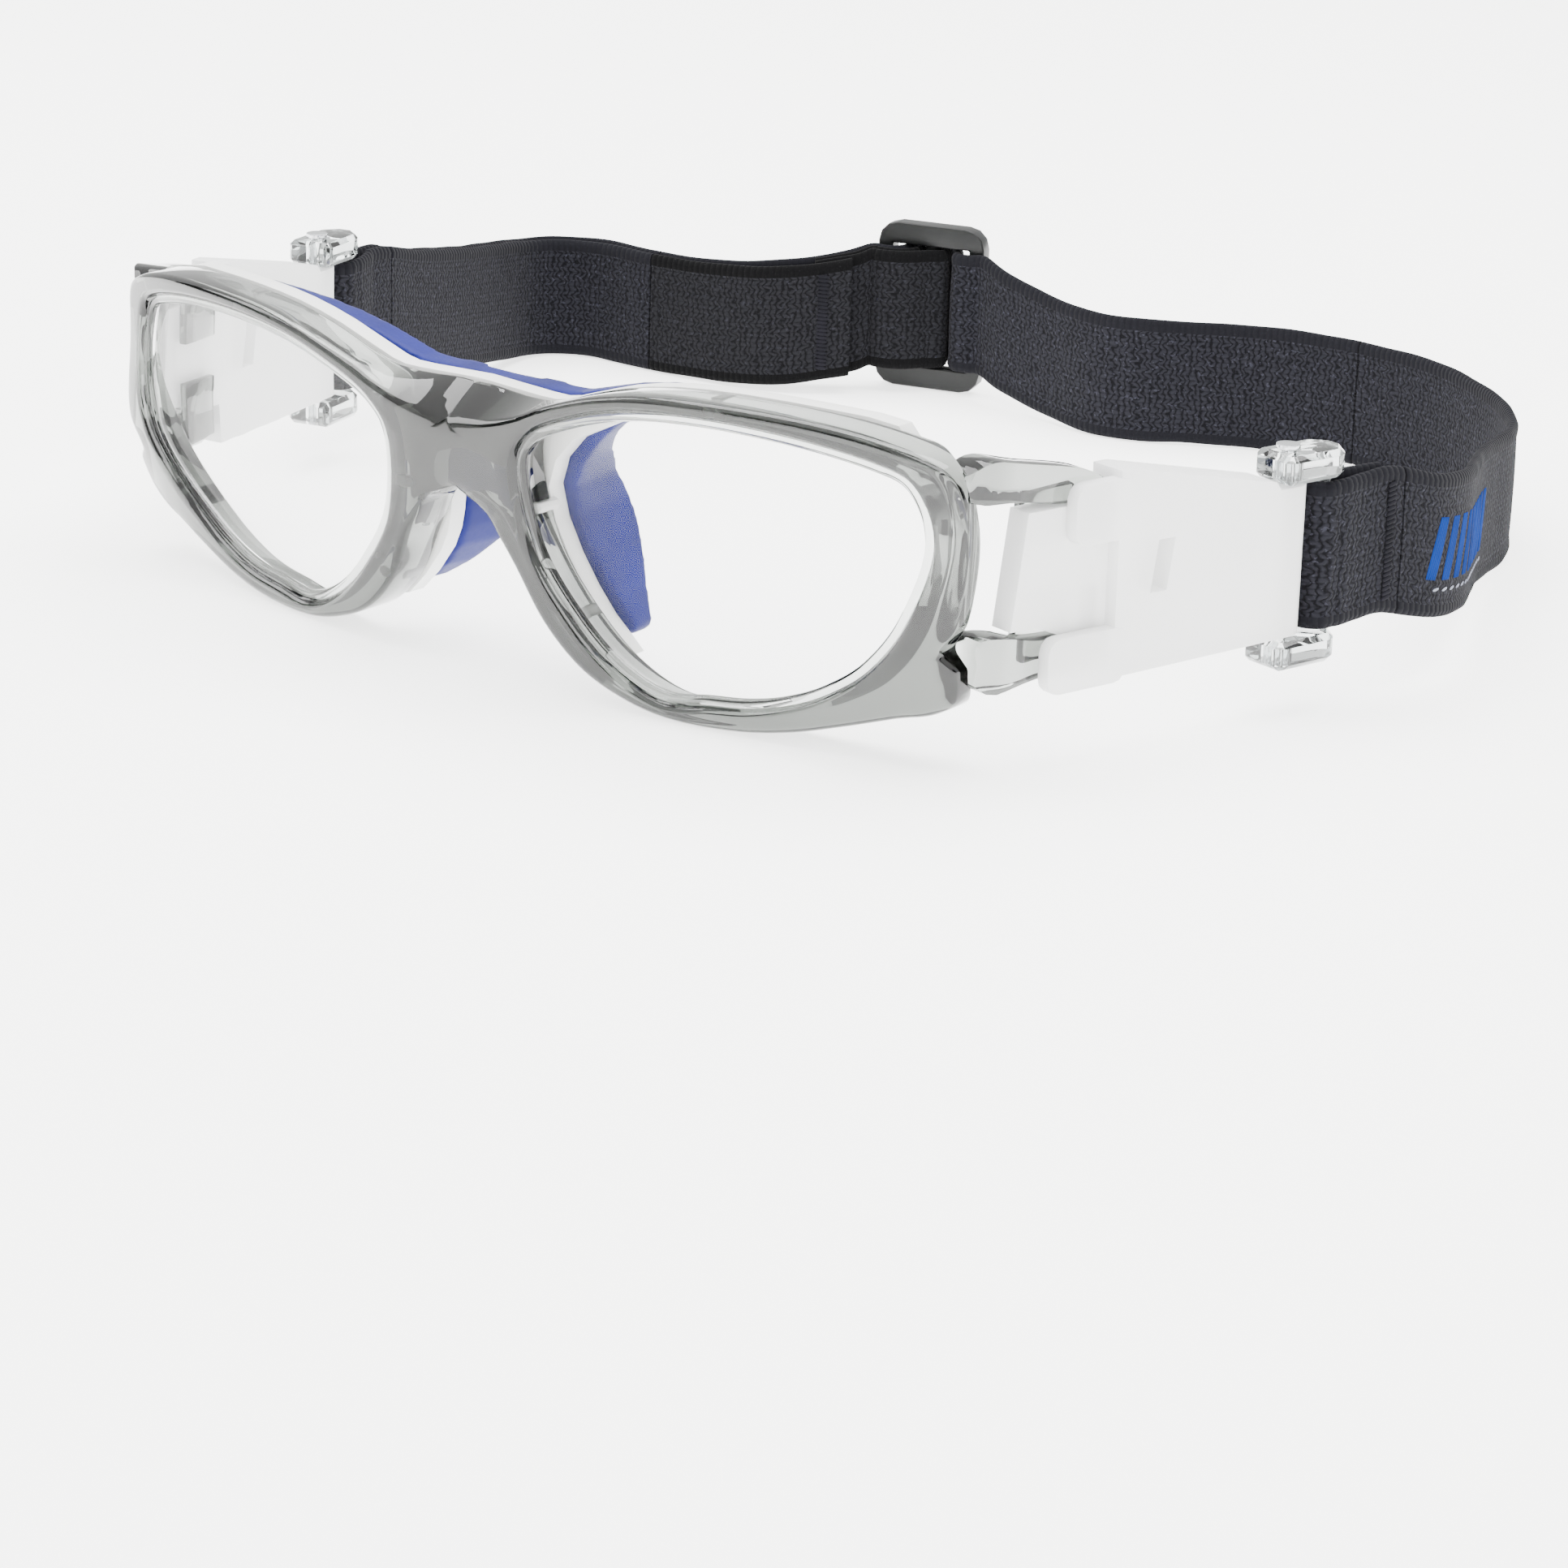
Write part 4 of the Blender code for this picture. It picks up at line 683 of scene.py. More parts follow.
def profile(distance: np.ndarray, stops: Sequence[Point2]) -> np.ndarray:
    """Read a moulded profile, given in millimetres, at distances in metres."""
    places, heights = zip(*stops)
    return np.interp(distance / MM, places, heights) * MM


@dataclass
class FrontFrame:
    """The one-piece front: two rims with their beads, the bridge and the four prongs."""

    stations: int = 300
    seat_depth: float = 1.9 * MM
    prong: float = 3.0 * MM
    upper: Point2 = (M.lens_top - 6.7 * MM, M.lens_top - 2.7 * MM)
    lower: Point2 = (M.rim_bottom + 8.8 * MM, M.rim_bottom + 12.7 * MM)
    tongue: float = 3.4 * MM
    # Depth of the front surface behind the face, by distance from the lens opening and from the outer edge.
    bead: tuple[Point2, ...] = (
        (0.0, 1.55), (0.12, 1.2), (0.35, 0.98), (0.8, 0.92), (1.1, 1.08), (1.25, 1.02), (1.45, 0.55),
        (1.7, 0.18), (2.05, 0.0))
    front_edge: tuple[Point2, ...] = ((0.0, 0.95), (0.08, 0.62), (0.25, 0.33), (0.55, 0.1), (0.95, 0.0))
    back_edge: tuple[Point2, ...] = ((0.0, 0.8), (0.1, 0.45), (0.3, 0.18), (0.7, 0.0))
    seat_edge: tuple[Point2, ...] = ((1.3, 0.6), (1.4, 0.3), (1.6, 0.1), (1.9, 0.0))

    def outlines(self) -> tuple[np.ndarray, np.ndarray]:
        """Return the lens opening and the open outer outline of the left half."""
        inner = smooth_line([lens_point(*p) for p in LENS_OUTLINE], 14, closed=True)
        outer = smooth_line(BRIDGE_TOP + [lens_point(*p) for p in RIM_OUTLINE] + BRIDGE_ARCH, 12)
        return inner, outer

    def radii(self, line: np.ndarray, angles: np.ndarray) -> np.ndarray:
        """Return the distance from the lens centre to a line in each direction."""
        turn = np.arctan2(line[:, 1] - M.lens_z, line[:, 0] - M.lens_x)
        reach = np.hypot(line[:, 0] - M.lens_x, line[:, 1] - M.lens_z)
        order = np.argsort(turn)
        return np.interp(angles, turn[order], reach[order], period=2 * math.pi)

    def bend(self, x: float, depth: float, z: float) -> Point3:
        """Bend a place of the flat front onto the wearer's face, thinner at the temples."""
        outer = ease((x - 0.97 * (M.temple_x - M.rim_temple)) / (0.09 * M.temple_x))
        scale = 1.0 - outer * (1.0 - M.temple_depth / M.frame_depth)
        near_bridge = 1.0 - ease(x / (0.75 * M.bridge_gap))
        above = ease((z - BRIDGE_ARCH[-1][1]) / (BRIDGE_TOP[0][1] - BRIDGE_ARCH[-1][1]))
        raised = z + M.bridge_rise * depth / M.frame_depth * near_bridge * above
        return (x, depth * scale + M.face_y(x, raised), raised)

    def half_rim(self) -> tuple[list[Point3], list[list[int]]]:
        """Loft the left half of the front round its lens opening.

        Returns:
            Its corners and faces, open on the mid-plane.
        """
        inner, outer = self.outlines()
        top = math.atan2(BRIDGE_TOP[0][1] - M.lens_z, -M.lens_x)
        arch = math.atan2(BRIDGE_ARCH[-1][1] - M.lens_z, -M.lens_x)
        turns = np.linspace(-math.pi, math.pi, self.stations, endpoint=False)
        angles = np.sort(np.append(turns, [top, arch]))
        flat = (angles > top - 1e-9) & (angles < arch + 1e-9)
        near = self.radii(inner, angles)
        far = np.where(flat, M.lens_x / np.maximum(-np.cos(angles), 1e-6), self.radii(outer, angles))
        ray = np.stack([np.cos(angles), np.sin(angles)], 1)
        wall = np.minimum(far - near, distance_to(near[:, None] * ray + [M.lens_x, M.lens_z], outer, False))
        tight = np.minimum(1.0, wall / (3.3 * MM))
        slant_in = np.clip(np.hypot(1.0, np.gradient(near, angles) / near), 1.0, 1.4)
        slant_out = np.clip(np.hypot(1.0, np.gradient(far, angles) / far), 1.0, 1.4)
        rings: list[np.ndarray] = []
        depths: list[np.ndarray] = []

        def ring(reach: np.ndarray, stops_in: Sequence[Point2], stops_out: Sequence[Point2], base: float,
                 sign: float, fixed: Optional[float] = None) -> None:
            """Add one ring at those distances from the lens centre, with its depth from the two profiles."""
            places = reach[:, None] * ray + [M.lens_x, M.lens_z]
            rings.append(places)
            if fixed is not None:
                depths.append(np.full(len(angles), fixed))
                return
            stretch = 1.0 / tight
            inside = profile(distance_to(places, inner, True) * stretch, stops_in)
            outside = profile(distance_to(places, outer, False) * stretch, stops_out)
            depths.append(base + sign * (inside + outside))

        def from_inner(distance: float) -> np.ndarray:
            """Return the reach of a ring that far outside the lens opening."""
            return near + distance * MM * tight * slant_in

        def from_outer(distance: float) -> np.ndarray:
            """Return the reach of a ring that far inside the outer edge."""
            return far - np.where(flat, 0.02 * distance, distance * tight * slant_out) * MM

        for step in (0.0, 0.12, 0.35, 0.8, 1.1, 1.25, 1.45, 1.7, 2.05):
            ring(from_inner(step), self.bead, self.front_edge, 0.0, 1.0)
        inner_end, outer_end = from_inner(2.05), from_outer(0.95)
        for share in (0.2, 0.4, 0.6, 0.8):
            ring(inner_end + (outer_end - inner_end) * share, self.bead, self.front_edge, 0.0, 1.0)
        for step in (0.95, 0.55, 0.25, 0.08, 0.0):
            ring(from_outer(step), self.bead, self.front_edge, 0.0, 1.0)
        no_bead = ((0.0, 0.0), (1.0, 0.0))
        for step in (0.0, 0.1, 0.3, 0.7):
            ring(from_outer(step), no_bead, self.back_edge, M.frame_depth, -1.0)
        back_inner, back_outer = from_inner(1.9), from_outer(0.7)
        for share in (0.75, 0.5, 0.25):
            ring(back_inner + (back_outer - back_inner) * share, self.seat_edge, self.back_edge,
                 M.frame_depth, -1.0)
        for step in (1.9, 1.6, 1.4, 1.3):
            ring(from_inner(step), self.seat_edge, no_bead, M.frame_depth, -1.0)
        ring(from_inner(1.3), no_bead, no_bead, 0.0, 1.0, self.seat_depth + 0.1 * MM)
        ring(from_inner(1.2), no_bead, no_bead, 0.0, 1.0, self.seat_depth)
        ring(from_inner(0.0), no_bead, no_bead, 0.0, 1.0, self.seat_depth)

        count = len(angles)
        points = [self.bend(max(p[0], 0.0), d, p[1])
                  for row, deep in zip(rings, depths) for p, d in zip(row, deep)]
        faces = []
        for r in range(len(rings)):
            for s in range(count):
                a, b = r * count + s, r * count + (s + 1) % count
                c, d = ((r + 1) % len(rings)) * count + (s + 1) % count, ((r + 1) % len(rings)) * count + s
                if all(points[i][0] < 0.03 * MM for i in (a, b, c, d)):
                    continue
                faces.append([a, b, c, d])
        points = [(0.0 if p[0] < 0.03 * MM else p[0], p[1], p[2]) for p in points]
        return points, faces

    def prong_solid(self, name: str, side: Sequence[Point2], flare: float, pin: Point2,
                    lug: Point2) -> bpy.types.Object:
        """Make one left prong with its pin and lug, about the hinge axis.

        Args:
            name: Name of the solid.
            side: Its side view, along the temple and up.
            flare: Inward spread of its root, for each millimetre forward.
            pin: Lowest and highest point of the hinge pin.
            lug: Lowest and highest point of the lug behind the tongue.

        Returns:
            The prong, in the row frame.
        """
        half, start, reach = self.prong / 2, 11.0 * MM, 28.0 * MM
        spread = flare * (reach - start)
        arm = extruded(name, side, -half - spread, half, Axis.ACROSS)
        root = min(a for a, _ in side)
        softened = ((0.0, -0.1), (1.2, 0.25), (2.3, 1.0), (3.1, 2.2), (3.5, 3.6), (3.6, 5.2))
        turn = [(half - 3.6 * MM + b * MM, root + a * MM) for b, a in softened]
        knuckle = ([(-half, -start), (-half - spread, -reach), (half - 3.6 * MM, -reach)] + turn
                   + arc_points(0, 0, half, 0, 180, 17))
        combine(arm, extruded(name + "_plan", knuckle, 0.0, 0.06, Axis.UP), "INTERSECT")
        rounded(arm, 0.7 * MM, 3, 50.0)
        round_pin = arc_points(0.0, 0.0, 0.9 * MM, 0, 350, 24)
        combine(arm, extruded(name + "_pin", round_pin, pin[0], pin[1], Axis.UP), "UNION")
        outer = -self.tongue / 2 - M.gap
        plate = [(outer - 1.2 * MM, -9.0 * MM), (outer, -9.0 * MM), (outer, -2.0 * MM),
                 (outer - 1.2 * MM, -2.0 * MM)]
        leaf = extruded(name + "_lug", plate, lug[0], lug[1], Axis.UP)
        rounded(leaf, 0.25 * MM, 2)
        combine(arm, leaf, "UNION")
        hinge = M.hinge
        arm.data.transform(Matrix.Translation(M.place + Vector((hinge.x, hinge.y, 0.0)))
                           @ Matrix.Rotation(-M.splay, 4, "Z"))
        return arm

    def prongs(self) -> list[bpy.types.Object]:
        """Return the left upper and lower prongs."""
        tip = self.prong / 2 + 0.1 * MM
        (under, top), (low, high) = self.upper, self.lower
        root = M.face_y(M.temple_x, under) - M.hinge.y
        upper = smooth_corners([
            (root + 2.5 * MM, top + 2.6 * MM), (root, top + 0.6 * MM), (root, under + 1.2 * MM),
            (-13 * MM, under + 1.4 * MM), (-6 * MM, under), (tip, under), (tip, top - 2.0 * MM),
            (-2.4 * MM, top), (-12 * MM, top + 1.8 * MM)])
        root = M.face_y(M.temple_x, low) - M.hinge.y + 0.8 * MM
        lower = smooth_corners([(root, high + 0.9 * MM), (root, low - 2.4 * MM), (-10 * MM, low - 0.6 * MM),
                                (tip, low), (tip, high), (-8 * MM, high), (-13 * MM, high + 1.2 * MM)])
        return [self.prong_solid("upper_prong", upper, 0.45, (under - 5.2 * MM, under + 0.8 * MM),
                                 (under - 5.4 * MM, top - 2.4 * MM)),
                self.prong_solid("lower_prong", lower, 0.7, (high - 0.8 * MM, high + 5.2 * MM),
                                 (low + 0.8 * MM, high + 5.4 * MM))]

    def build(self) -> bpy.types.Object:
        """Build the whole front and let it ride on the frame body."""
        points, faces = self.half_rim()
        rim = piece_from("front_frame_finished", points, faces, SMOKE)
        edit(rim, lambda bm: bmesh.ops.remove_doubles(bm, verts=bm.verts, dist=0.000004))
        other = mirrored_copy(rim, "front_other_half")
        solid = joined([rim, other])
        edit(solid, lambda bm: bmesh.ops.remove_doubles(bm, verts=bm.verts, dist=0.000008))
        outward(solid)
        for arm in self.prongs():
            combine(solid, mirrored_copy(arm, arm.name + "_right"), "UNION")
            combine(solid, arm, "UNION")
        shade(solid, 42.0)
        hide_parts("front_frame")
        return report(solid, "frame")


# ---- lenses, carrier and liner --------------------------------------------------------------------------
def filled_outline(outline: np.ndarray, rings: Sequence[float],
                   centre: Point2) -> tuple[np.ndarray, list[list[int]]]:
    """Fill a star-shaped outline with shrinking rings round a centre point.

    Args:
        outline: Rows of x, z.
        rings: Shares of the way from the centre, the largest first and 1 for the outline itself.
        centre: The centre point.

    Returns:
        The points, and the faces between the rings with the last ring closed on the centre.
    """
    count = len(outline)
    middle = np.array(centre)
    rows = [middle + (outline - middle) * share for share in rings]
    points = np.vstack(rows + [middle[None, :]])
    faces = []
    for r in range(len(rings) - 1):
        for s in range(count):
            faces.append([r * count + s, r * count + (s + 1) % count, (r + 1) * count + (s + 1) % count,
                          (r + 1) * count + s])
    last = (len(rings) - 1) * count
    faces += [[last + s, last + (s + 1) % count, len(points) - 1] for s in range(count)]
    return points, faces


@dataclass
class Lens:
    """One curved lens that sits behind the rim's lip."""

    lip: float = 1.0 * MM
    front: float = 2.2 * MM
    thickness: float = 1.8 * MM

    def build(self) -> list[bpy.types.Object]:
        """Build both lenses and let them ride on the frame body."""
        opening = smooth_line([lens_point(*p) for p in LENS_OUTLINE], 10, closed=True)
        middle = np.array([M.lens_x, M.lens_z])
        reach = np.linalg.norm(opening - middle, axis=1, keepdims=True)
        outline = middle + (opening - middle) * (1.0 + self.lip / reach)
        shares = (1.0, 0.995, 0.97, 0.85, 0.7, 0.5, 0.3, 0.12)
        flat, faces = filled_outline(outline, shares, (M.lens_x, M.lens_z))
        count = len(outline)
        edge = np.zeros(len(flat))
        edge[:count] = 0.3 * MM
        skin = [(x, self.front + e + M.face_y(x, z), z) for (x, z), e in zip(flat, edge)]
        back = [(x, self.front + self.thickness - e + M.face_y(x, z), z) for (x, z), e in zip(flat, edge)]
        total = len(flat)
        faces_back = [[total + i for i in reversed(face)] for face in faces]
        rim = [[s, (s + 1) % count, total + (s + 1) % count, total + s] for s in range(count)]
        left = outward(piece_from("lens_left_finished", skin + back, faces + faces_back + rim, LENS))
        shade(left, 50.0)
        right = mirrored_copy(left, "lens_right_finished")
        for lens, node in ((left, "lens_left"), (right, "lens_right")):
            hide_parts(node)
            report(lens, "frame")
        return [left, right]


def ring_solid(name: str, rows: np.ndarray, finish: Finish) -> bpy.types.Object:
    """Skin a solid over a grid of points whose rows are closed cross-sections, and cap both ends.

    Args:
        name: The piece's name.
        rows: Array of sections, points in each section, and their coordinates.
        finish: The piece's material.

    Returns:
        The piece, in the row frame.
    """
    sections, around = rows.shape[:2]
    faces = [[r * around + s, r * around + (s + 1) % around, (r + 1) * around + (s + 1) % around,
              (r + 1) * around + s] for r in range(sections - 1) for s in range(around)]
    faces += [list(range(around)), [(sections - 1) * around + s for s in reversed(range(around))]]
    return outward(piece_from(name, rows.reshape(-1, 3), faces, finish))


@dataclass
class Liner:
    """The white carrier and the soft blue liner with its nose wings."""

    front: float = 10.2 * MM
    depth: float = 3.0 * MM
    reach: float = 8.5 * MM

    def build(self) -> list[bpy.types.Object]:
        """Dress the carrier and the liner, both on the frame body."""
        carrier = refined_copy("liner_carrier", CARRIER, 0.45 * MM, 3, 40.0)
        return [report(carrier, "frame"), self.soft_liner()]

    def wing(self, x: float, z: float, power: float) -> float:
        """Return how far the nose wing stands out at a place, from 0 to 1.

        Args:
            x: Distance from the mid-plane.
            z: Height.
            power: How slowly the wing fades towards its ends.

        Returns:
            The wing's share of its full depth.
        """
        low, high = lens_point(0.0, 0.08)[1], lens_point(0.0, 0.86)[1]
        rise = min(max((z - low) / (high - low), 0.0), 1.0)
        edge = lens_point(0.22, 0.0)[0]
        return (math.sin(math.pi * rise) ** power * (1.0 - ease((x - 0.6 * edge) / edge))
                * ease(x / (0.5 * M.bridge_gap)))

    def soft_liner(self) -> bpy.types.Object:
        """Round the liner all over like moulded silicone, with wings that fade softly at both ends."""
        liner = refined_copy("silicone_liner", SILICONE, 0.5 * MM, 2, 38.0)
        place = M.place
        for vertex in liner.data.vertices:
            x, z = abs(vertex.co.x - place.x), vertex.co.z - place.z
            depth = vertex.co.y - place.y - M.face_y(x, z) - self.front
            full = self.depth + self.reach * self.wing(x, z, 0.7)
            soft = self.depth + self.reach * self.wing(x, z, 1.25)
            if depth > 0.2 * MM:
                vertex.co.y += depth * (soft / full - 1.0)
        step = liner.modifiers.new("skin", "REMESH")
        step.mode = "VOXEL"
        step.voxel_size = 0.42 * MM
        step = liner.modifiers.new("soften", "SMOOTH")
        step.factor, step.iterations = 0.6, 9
        baked(liner)
        liner.data.shade_smooth()
        return report(liner, "frame")


# ---- temple pads, buckles and slider --------------------------------------------------------------------
@dataclass
class TemplePads:
    """The two frosted temple pads with their slots and ears."""

    edge: float = 0.6 * MM

    def build(self) -> list[bpy.types.Object]:
        """Dress the left pad and mirror it to the right."""
        left = refined_copy("temple_pad_left", FROST, self.edge, 3, 35.0)
        right = mirrored_copy(left, "temple_pad_right_finished")
        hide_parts("temple_pad_right")
        for pad, body in ((left, "temple_left"), (right, "temple_right")):
            report(pad, body)
        return [left, right]


@dataclass
class Buckles:
    """The clear stepped blocks that carry the strap bars, with their steel pins."""

    edge: float = 0.35 * MM

    def build(self) -> list[bpy.types.Object]:
        """Dress the left buckle and pin and mirror them to the right."""
        made = []
        for node, finish, width, slot in (("buckle", BUCKLE, self.edge, "clear_buckle"),
                                          ("buckle_pin", STEEL, 0.2 * MM, "steel_pin")):
            left = refined_copy(node + "_left", finish, width, 3, 35.0)
            right = mirrored_copy(left, node + "_right_finished")
            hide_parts(node + "_right")
            for piece, body in ((left, "buckle_left"), (right, "buckle_right")):
                made.append(report(piece, body))
        return made


@dataclass
class Slider:
    """The black slider on the strap."""

    edge: float = 0.7 * MM

    def build(self) -> bpy.types.Object:
        """Dress the slider."""
        piece = refined_copy("slider", ACETAL, self.edge, 3, 35.0)
        return report(piece, "slider")


# ---- strap ------------------------------------------------------------------------------------------------
class Path:
    """A middle line seen from above with the height of the band's lower edge, read by distance along it."""

    def __init__(self, points: Sequence[Sequence[float]], steps: int) -> None:
        """Make the smooth line.

        Args:
            points: Places of the line, as x, y and the height of the lower edge.
            steps: Steps in each span.
        """
        self.line = smooth_line(points, steps)
        runs = np.linalg.norm(np.diff(self.line[:, :2], axis=0), axis=1)
        self.marks = np.concatenate([[0.0], np.cumsum(runs)])
        self.total = float(self.marks[-1])

    def at(self, s: float | np.ndarray) -> np.ndarray:
        """Return the places at distances along the line."""
        s = np.asarray(s, float)
        return np.stack([np.interp(s, self.marks, self.line[:, k]) for k in range(3)], -1)

    def side(self, s: float | np.ndarray) -> np.ndarray:
        """Return the direction to the right of the line, seen from above."""
        s = np.asarray(s, float)
        run = self.at(s + 0.6 * MM) - self.at(s - 0.6 * MM)
        run = run[..., :2] / np.linalg.norm(run[..., :2], axis=-1, keepdims=True)
        return np.stack([run[..., 1], -run[..., 0], np.zeros(run.shape[:-1])], -1)

    def nearest(self, place: Sequence[float]) -> float:
        """Return the distance along the line nearest to a plan position."""
        return float(self.marks[np.linalg.norm(self.line[:, :2] - np.array(place)[:2], axis=1).argmin()])

    def beside(self, s: float, distance: float) -> tuple[float, ...]:
        """Return the place that far to the right of the line at s."""
        return tuple(self.at(s) + self.side(s) * distance)


@dataclass
class Route:
    """Where the strap runs: its turns at the buckle bars, its way round the back and through the slider."""

    width: float = STRAP_WIDTH
    web: float = 1.6 * MM
    loop_web: float = 1.3 * MM
    slider_bar: float = 1.3 * MM
    slider_rail: float = 3.4 * MM
    slider_deep: float = 1.4 * MM
    slider_long: float = 17.6 * MM
    heading: float = math.radians(195.4)
    slider_share: float = -0.549
    slider_behind: float = 94.3 * MM
    hem_behind: float = 4.0 * MM
    left: tuple[Point3, ...] = (
        (1.064, 19.6, 0.77), (1.044, 29.1, 0.62), (0.990, 39.1, 0.47), (0.934, 49.1, 0.33),
        (0.891, 59.1, 0.21), (0.855, 68.6, 0.12), (0.792, 78.6, 0.05), (0.678, 89.6, 0.01),
        (0.516, 98.6, 0.00), (0.330, 102.1, 0.00),
        (0.162, 100.1, 0.00), (0.042, 95.1, 0.00), (-0.042, 90.7, 0.00), (-0.132, 89.1, 0.00),
        (-0.240, 90.7, 0.06), (-0.366, 92.7, 0.23))
    right: tuple[Point3, ...] = (
        (-0.684, 85.9, 0.25), (-0.768, 79.9, 0.10), (-0.870, 75.1, 0.02), (-1.008, 73.7, 0.00),
        (-1.146, 73.7, 0.00), (-1.236, 70.1, 0.00), (-1.263, 63.1, 0.03), (-1.224, 51.6, 0.18),
        (-1.164, 38.6, 0.40), (-1.102, 24.6, 0.66))

    @property
    def lay(self) -> float:
        """Middle to middle of two layers that lie together."""
        return self.web + 2 * M.gap

    @property
    def turn_radius(self) -> float:
        """Radius of the strap's middle line round a buckle bar."""
        return M.bar_radius + M.gap + self.web / 2

    @property
    def behind(self) -> float:
        """From the slider's middle to the middle of the strap that passes inside it."""
        return self.slider_deep + M.gap + self.web / 2

    @property
    def first_leg(self) -> float:
        """From the strap's middle to the nearer leg of the slider's loop."""
        return self.web / 2 + M.gap + self.loop_web / 2

    @property
    def second_leg(self) -> float:
        """From the strap's middle to the farther leg of the slider's loop."""
        return self.first_leg + self.loop_web + M.gap

    @property
    def lap(self) -> float:
        """From the strap's middle to the hem that lies over the loop's legs."""
        return self.lay + 2 * (self.loop_web + M.gap)

    def slider_place(self, s: float, n: float) -> tuple[float, float]:
        """Return the plan position of a point given along and out of the slider."""
        c, t = math.cos(self.heading), math.sin(self.heading)
        return (self.slider_share * M.bar.x + c * s + t * n, M.bar.y + self.slider_behind + t * s - c * n)

    def turn(self, side: float) -> list[Point3]:
        """Return the turn round a buckle bar, from its outer leg to its inner leg."""
        legs = [(11.0 * MM, self.lay / 2), (6.0 * MM, 0.62 * self.turn_radius),
                (2.2 * MM, 0.93 * self.turn_radius)]
        bow = arc_points(0.0, 0.0, self.turn_radius, 65, 295, 7)
        local = legs + bow + [(a, -b) for a, b in reversed(legs)]
        places = [M.temple(M.pad_length + M.bar_spacing + a, M.pad_middle + b) for a, b in local]
        return [(side * p.x, p.y, M.strap_low) for p in places]

    def waypoint(self, share_x: float, behind: float, share_z: float) -> Point3:
        """Return the place of one point of the way round the back."""
        return (share_x * M.bar.x, M.bar.y + behind * MM, share_z * M.strap_low)

    def outer(self) -> Path:
        """Return the line of the outer layer, from the left bar to the right one."""
        over = self.slider_bar + M.gap + self.loop_web + M.gap + self.web / 2
        inside = self.behind
        weave = [(-9.5 * MM, -inside), (-7.2 * MM, -inside), (-5.3 * MM, 0.1 * MM - inside),
                 (-over - 0.3 * MM, -1.3 * MM), (-over, 0.2 * MM), (-0.72 * over, 0.72 * over), (0.0, over),
                 (0.74 * over, 0.72 * over), (over + 0.2 * MM, 0.1 * MM), (over + 0.7 * MM, -1.4 * MM),
                 (over + 1.8 * MM, -2.4 * MM), (7.4 * MM, -inside), (9.5 * MM, -inside)]
        low = self.slider_rail + M.gap
        through = [(*self.slider_place(s, n), low) for s, n in weave]
        return Path(list(reversed(self.turn(1.0))) + [self.waypoint(*p) for p in self.left] + through
                    + [self.waypoint(*p) for p in self.right] + self.turn(-1.0)[:3], 10)

    def inner(self, outer: Path, hem: float) -> Path:
        """Return the line of the layer that comes back from the right bar to the slider's loop."""
        places = []
        s = outer.total - 5.5 * MM
        while s > hem:
            spread = 1.0 - ease((s - hem - 8.0 * MM) / (14.0 * MM))
            places.append(outer.beside(s, -(self.lay + (self.lap - self.lay) * spread)))
            s -= 5.0 * MM
        places.append(outer.beside(hem, -self.lap))
        lead = [tuple(outer.at(outer.total - back * MM)) for back in (15.0, 12.0, 9.0, 4.5, 0.0)]
        return Path(lead + self.turn(-1.0)[3:-1] + places, 10)

    def loop(self, outer: Path, leave: float) -> Path:
        """Return the line of the short loop round the slider's middle bar."""
        steps = [leave + i * 3.0 * MM for i in range(4)]
        r = self.slider_bar + M.gap + self.loop_web / 2
        near = [(7.0 * MM, -self.behind - self.first_leg), (4.9 * MM, -4.1 * MM), (3.4 * MM, -3.0 * MM),
                (r + 0.25 * MM, -1.6 * MM)]
        near += arc_points(0.0, 0.0, r, 0, 180, 5)
        near += [(-0.80 * r, -0.72 * r), (-0.1 * MM, -2.6 * MM), (1.1 * MM, -3.8 * MM), (2.7 * MM, -5.1 * MM),
                 (4.8 * MM, -5.9 * MM), (7.0 * MM, -self.behind - self.second_leg)]
        around = [(*self.slider_place(s, n), self.slider_rail + M.gap) for s, n in near]
        return Path([outer.beside(s, -self.first_leg) for s in reversed(steps)] + around
                    + [outer.beside(s, -self.second_leg) for s in steps], 8)


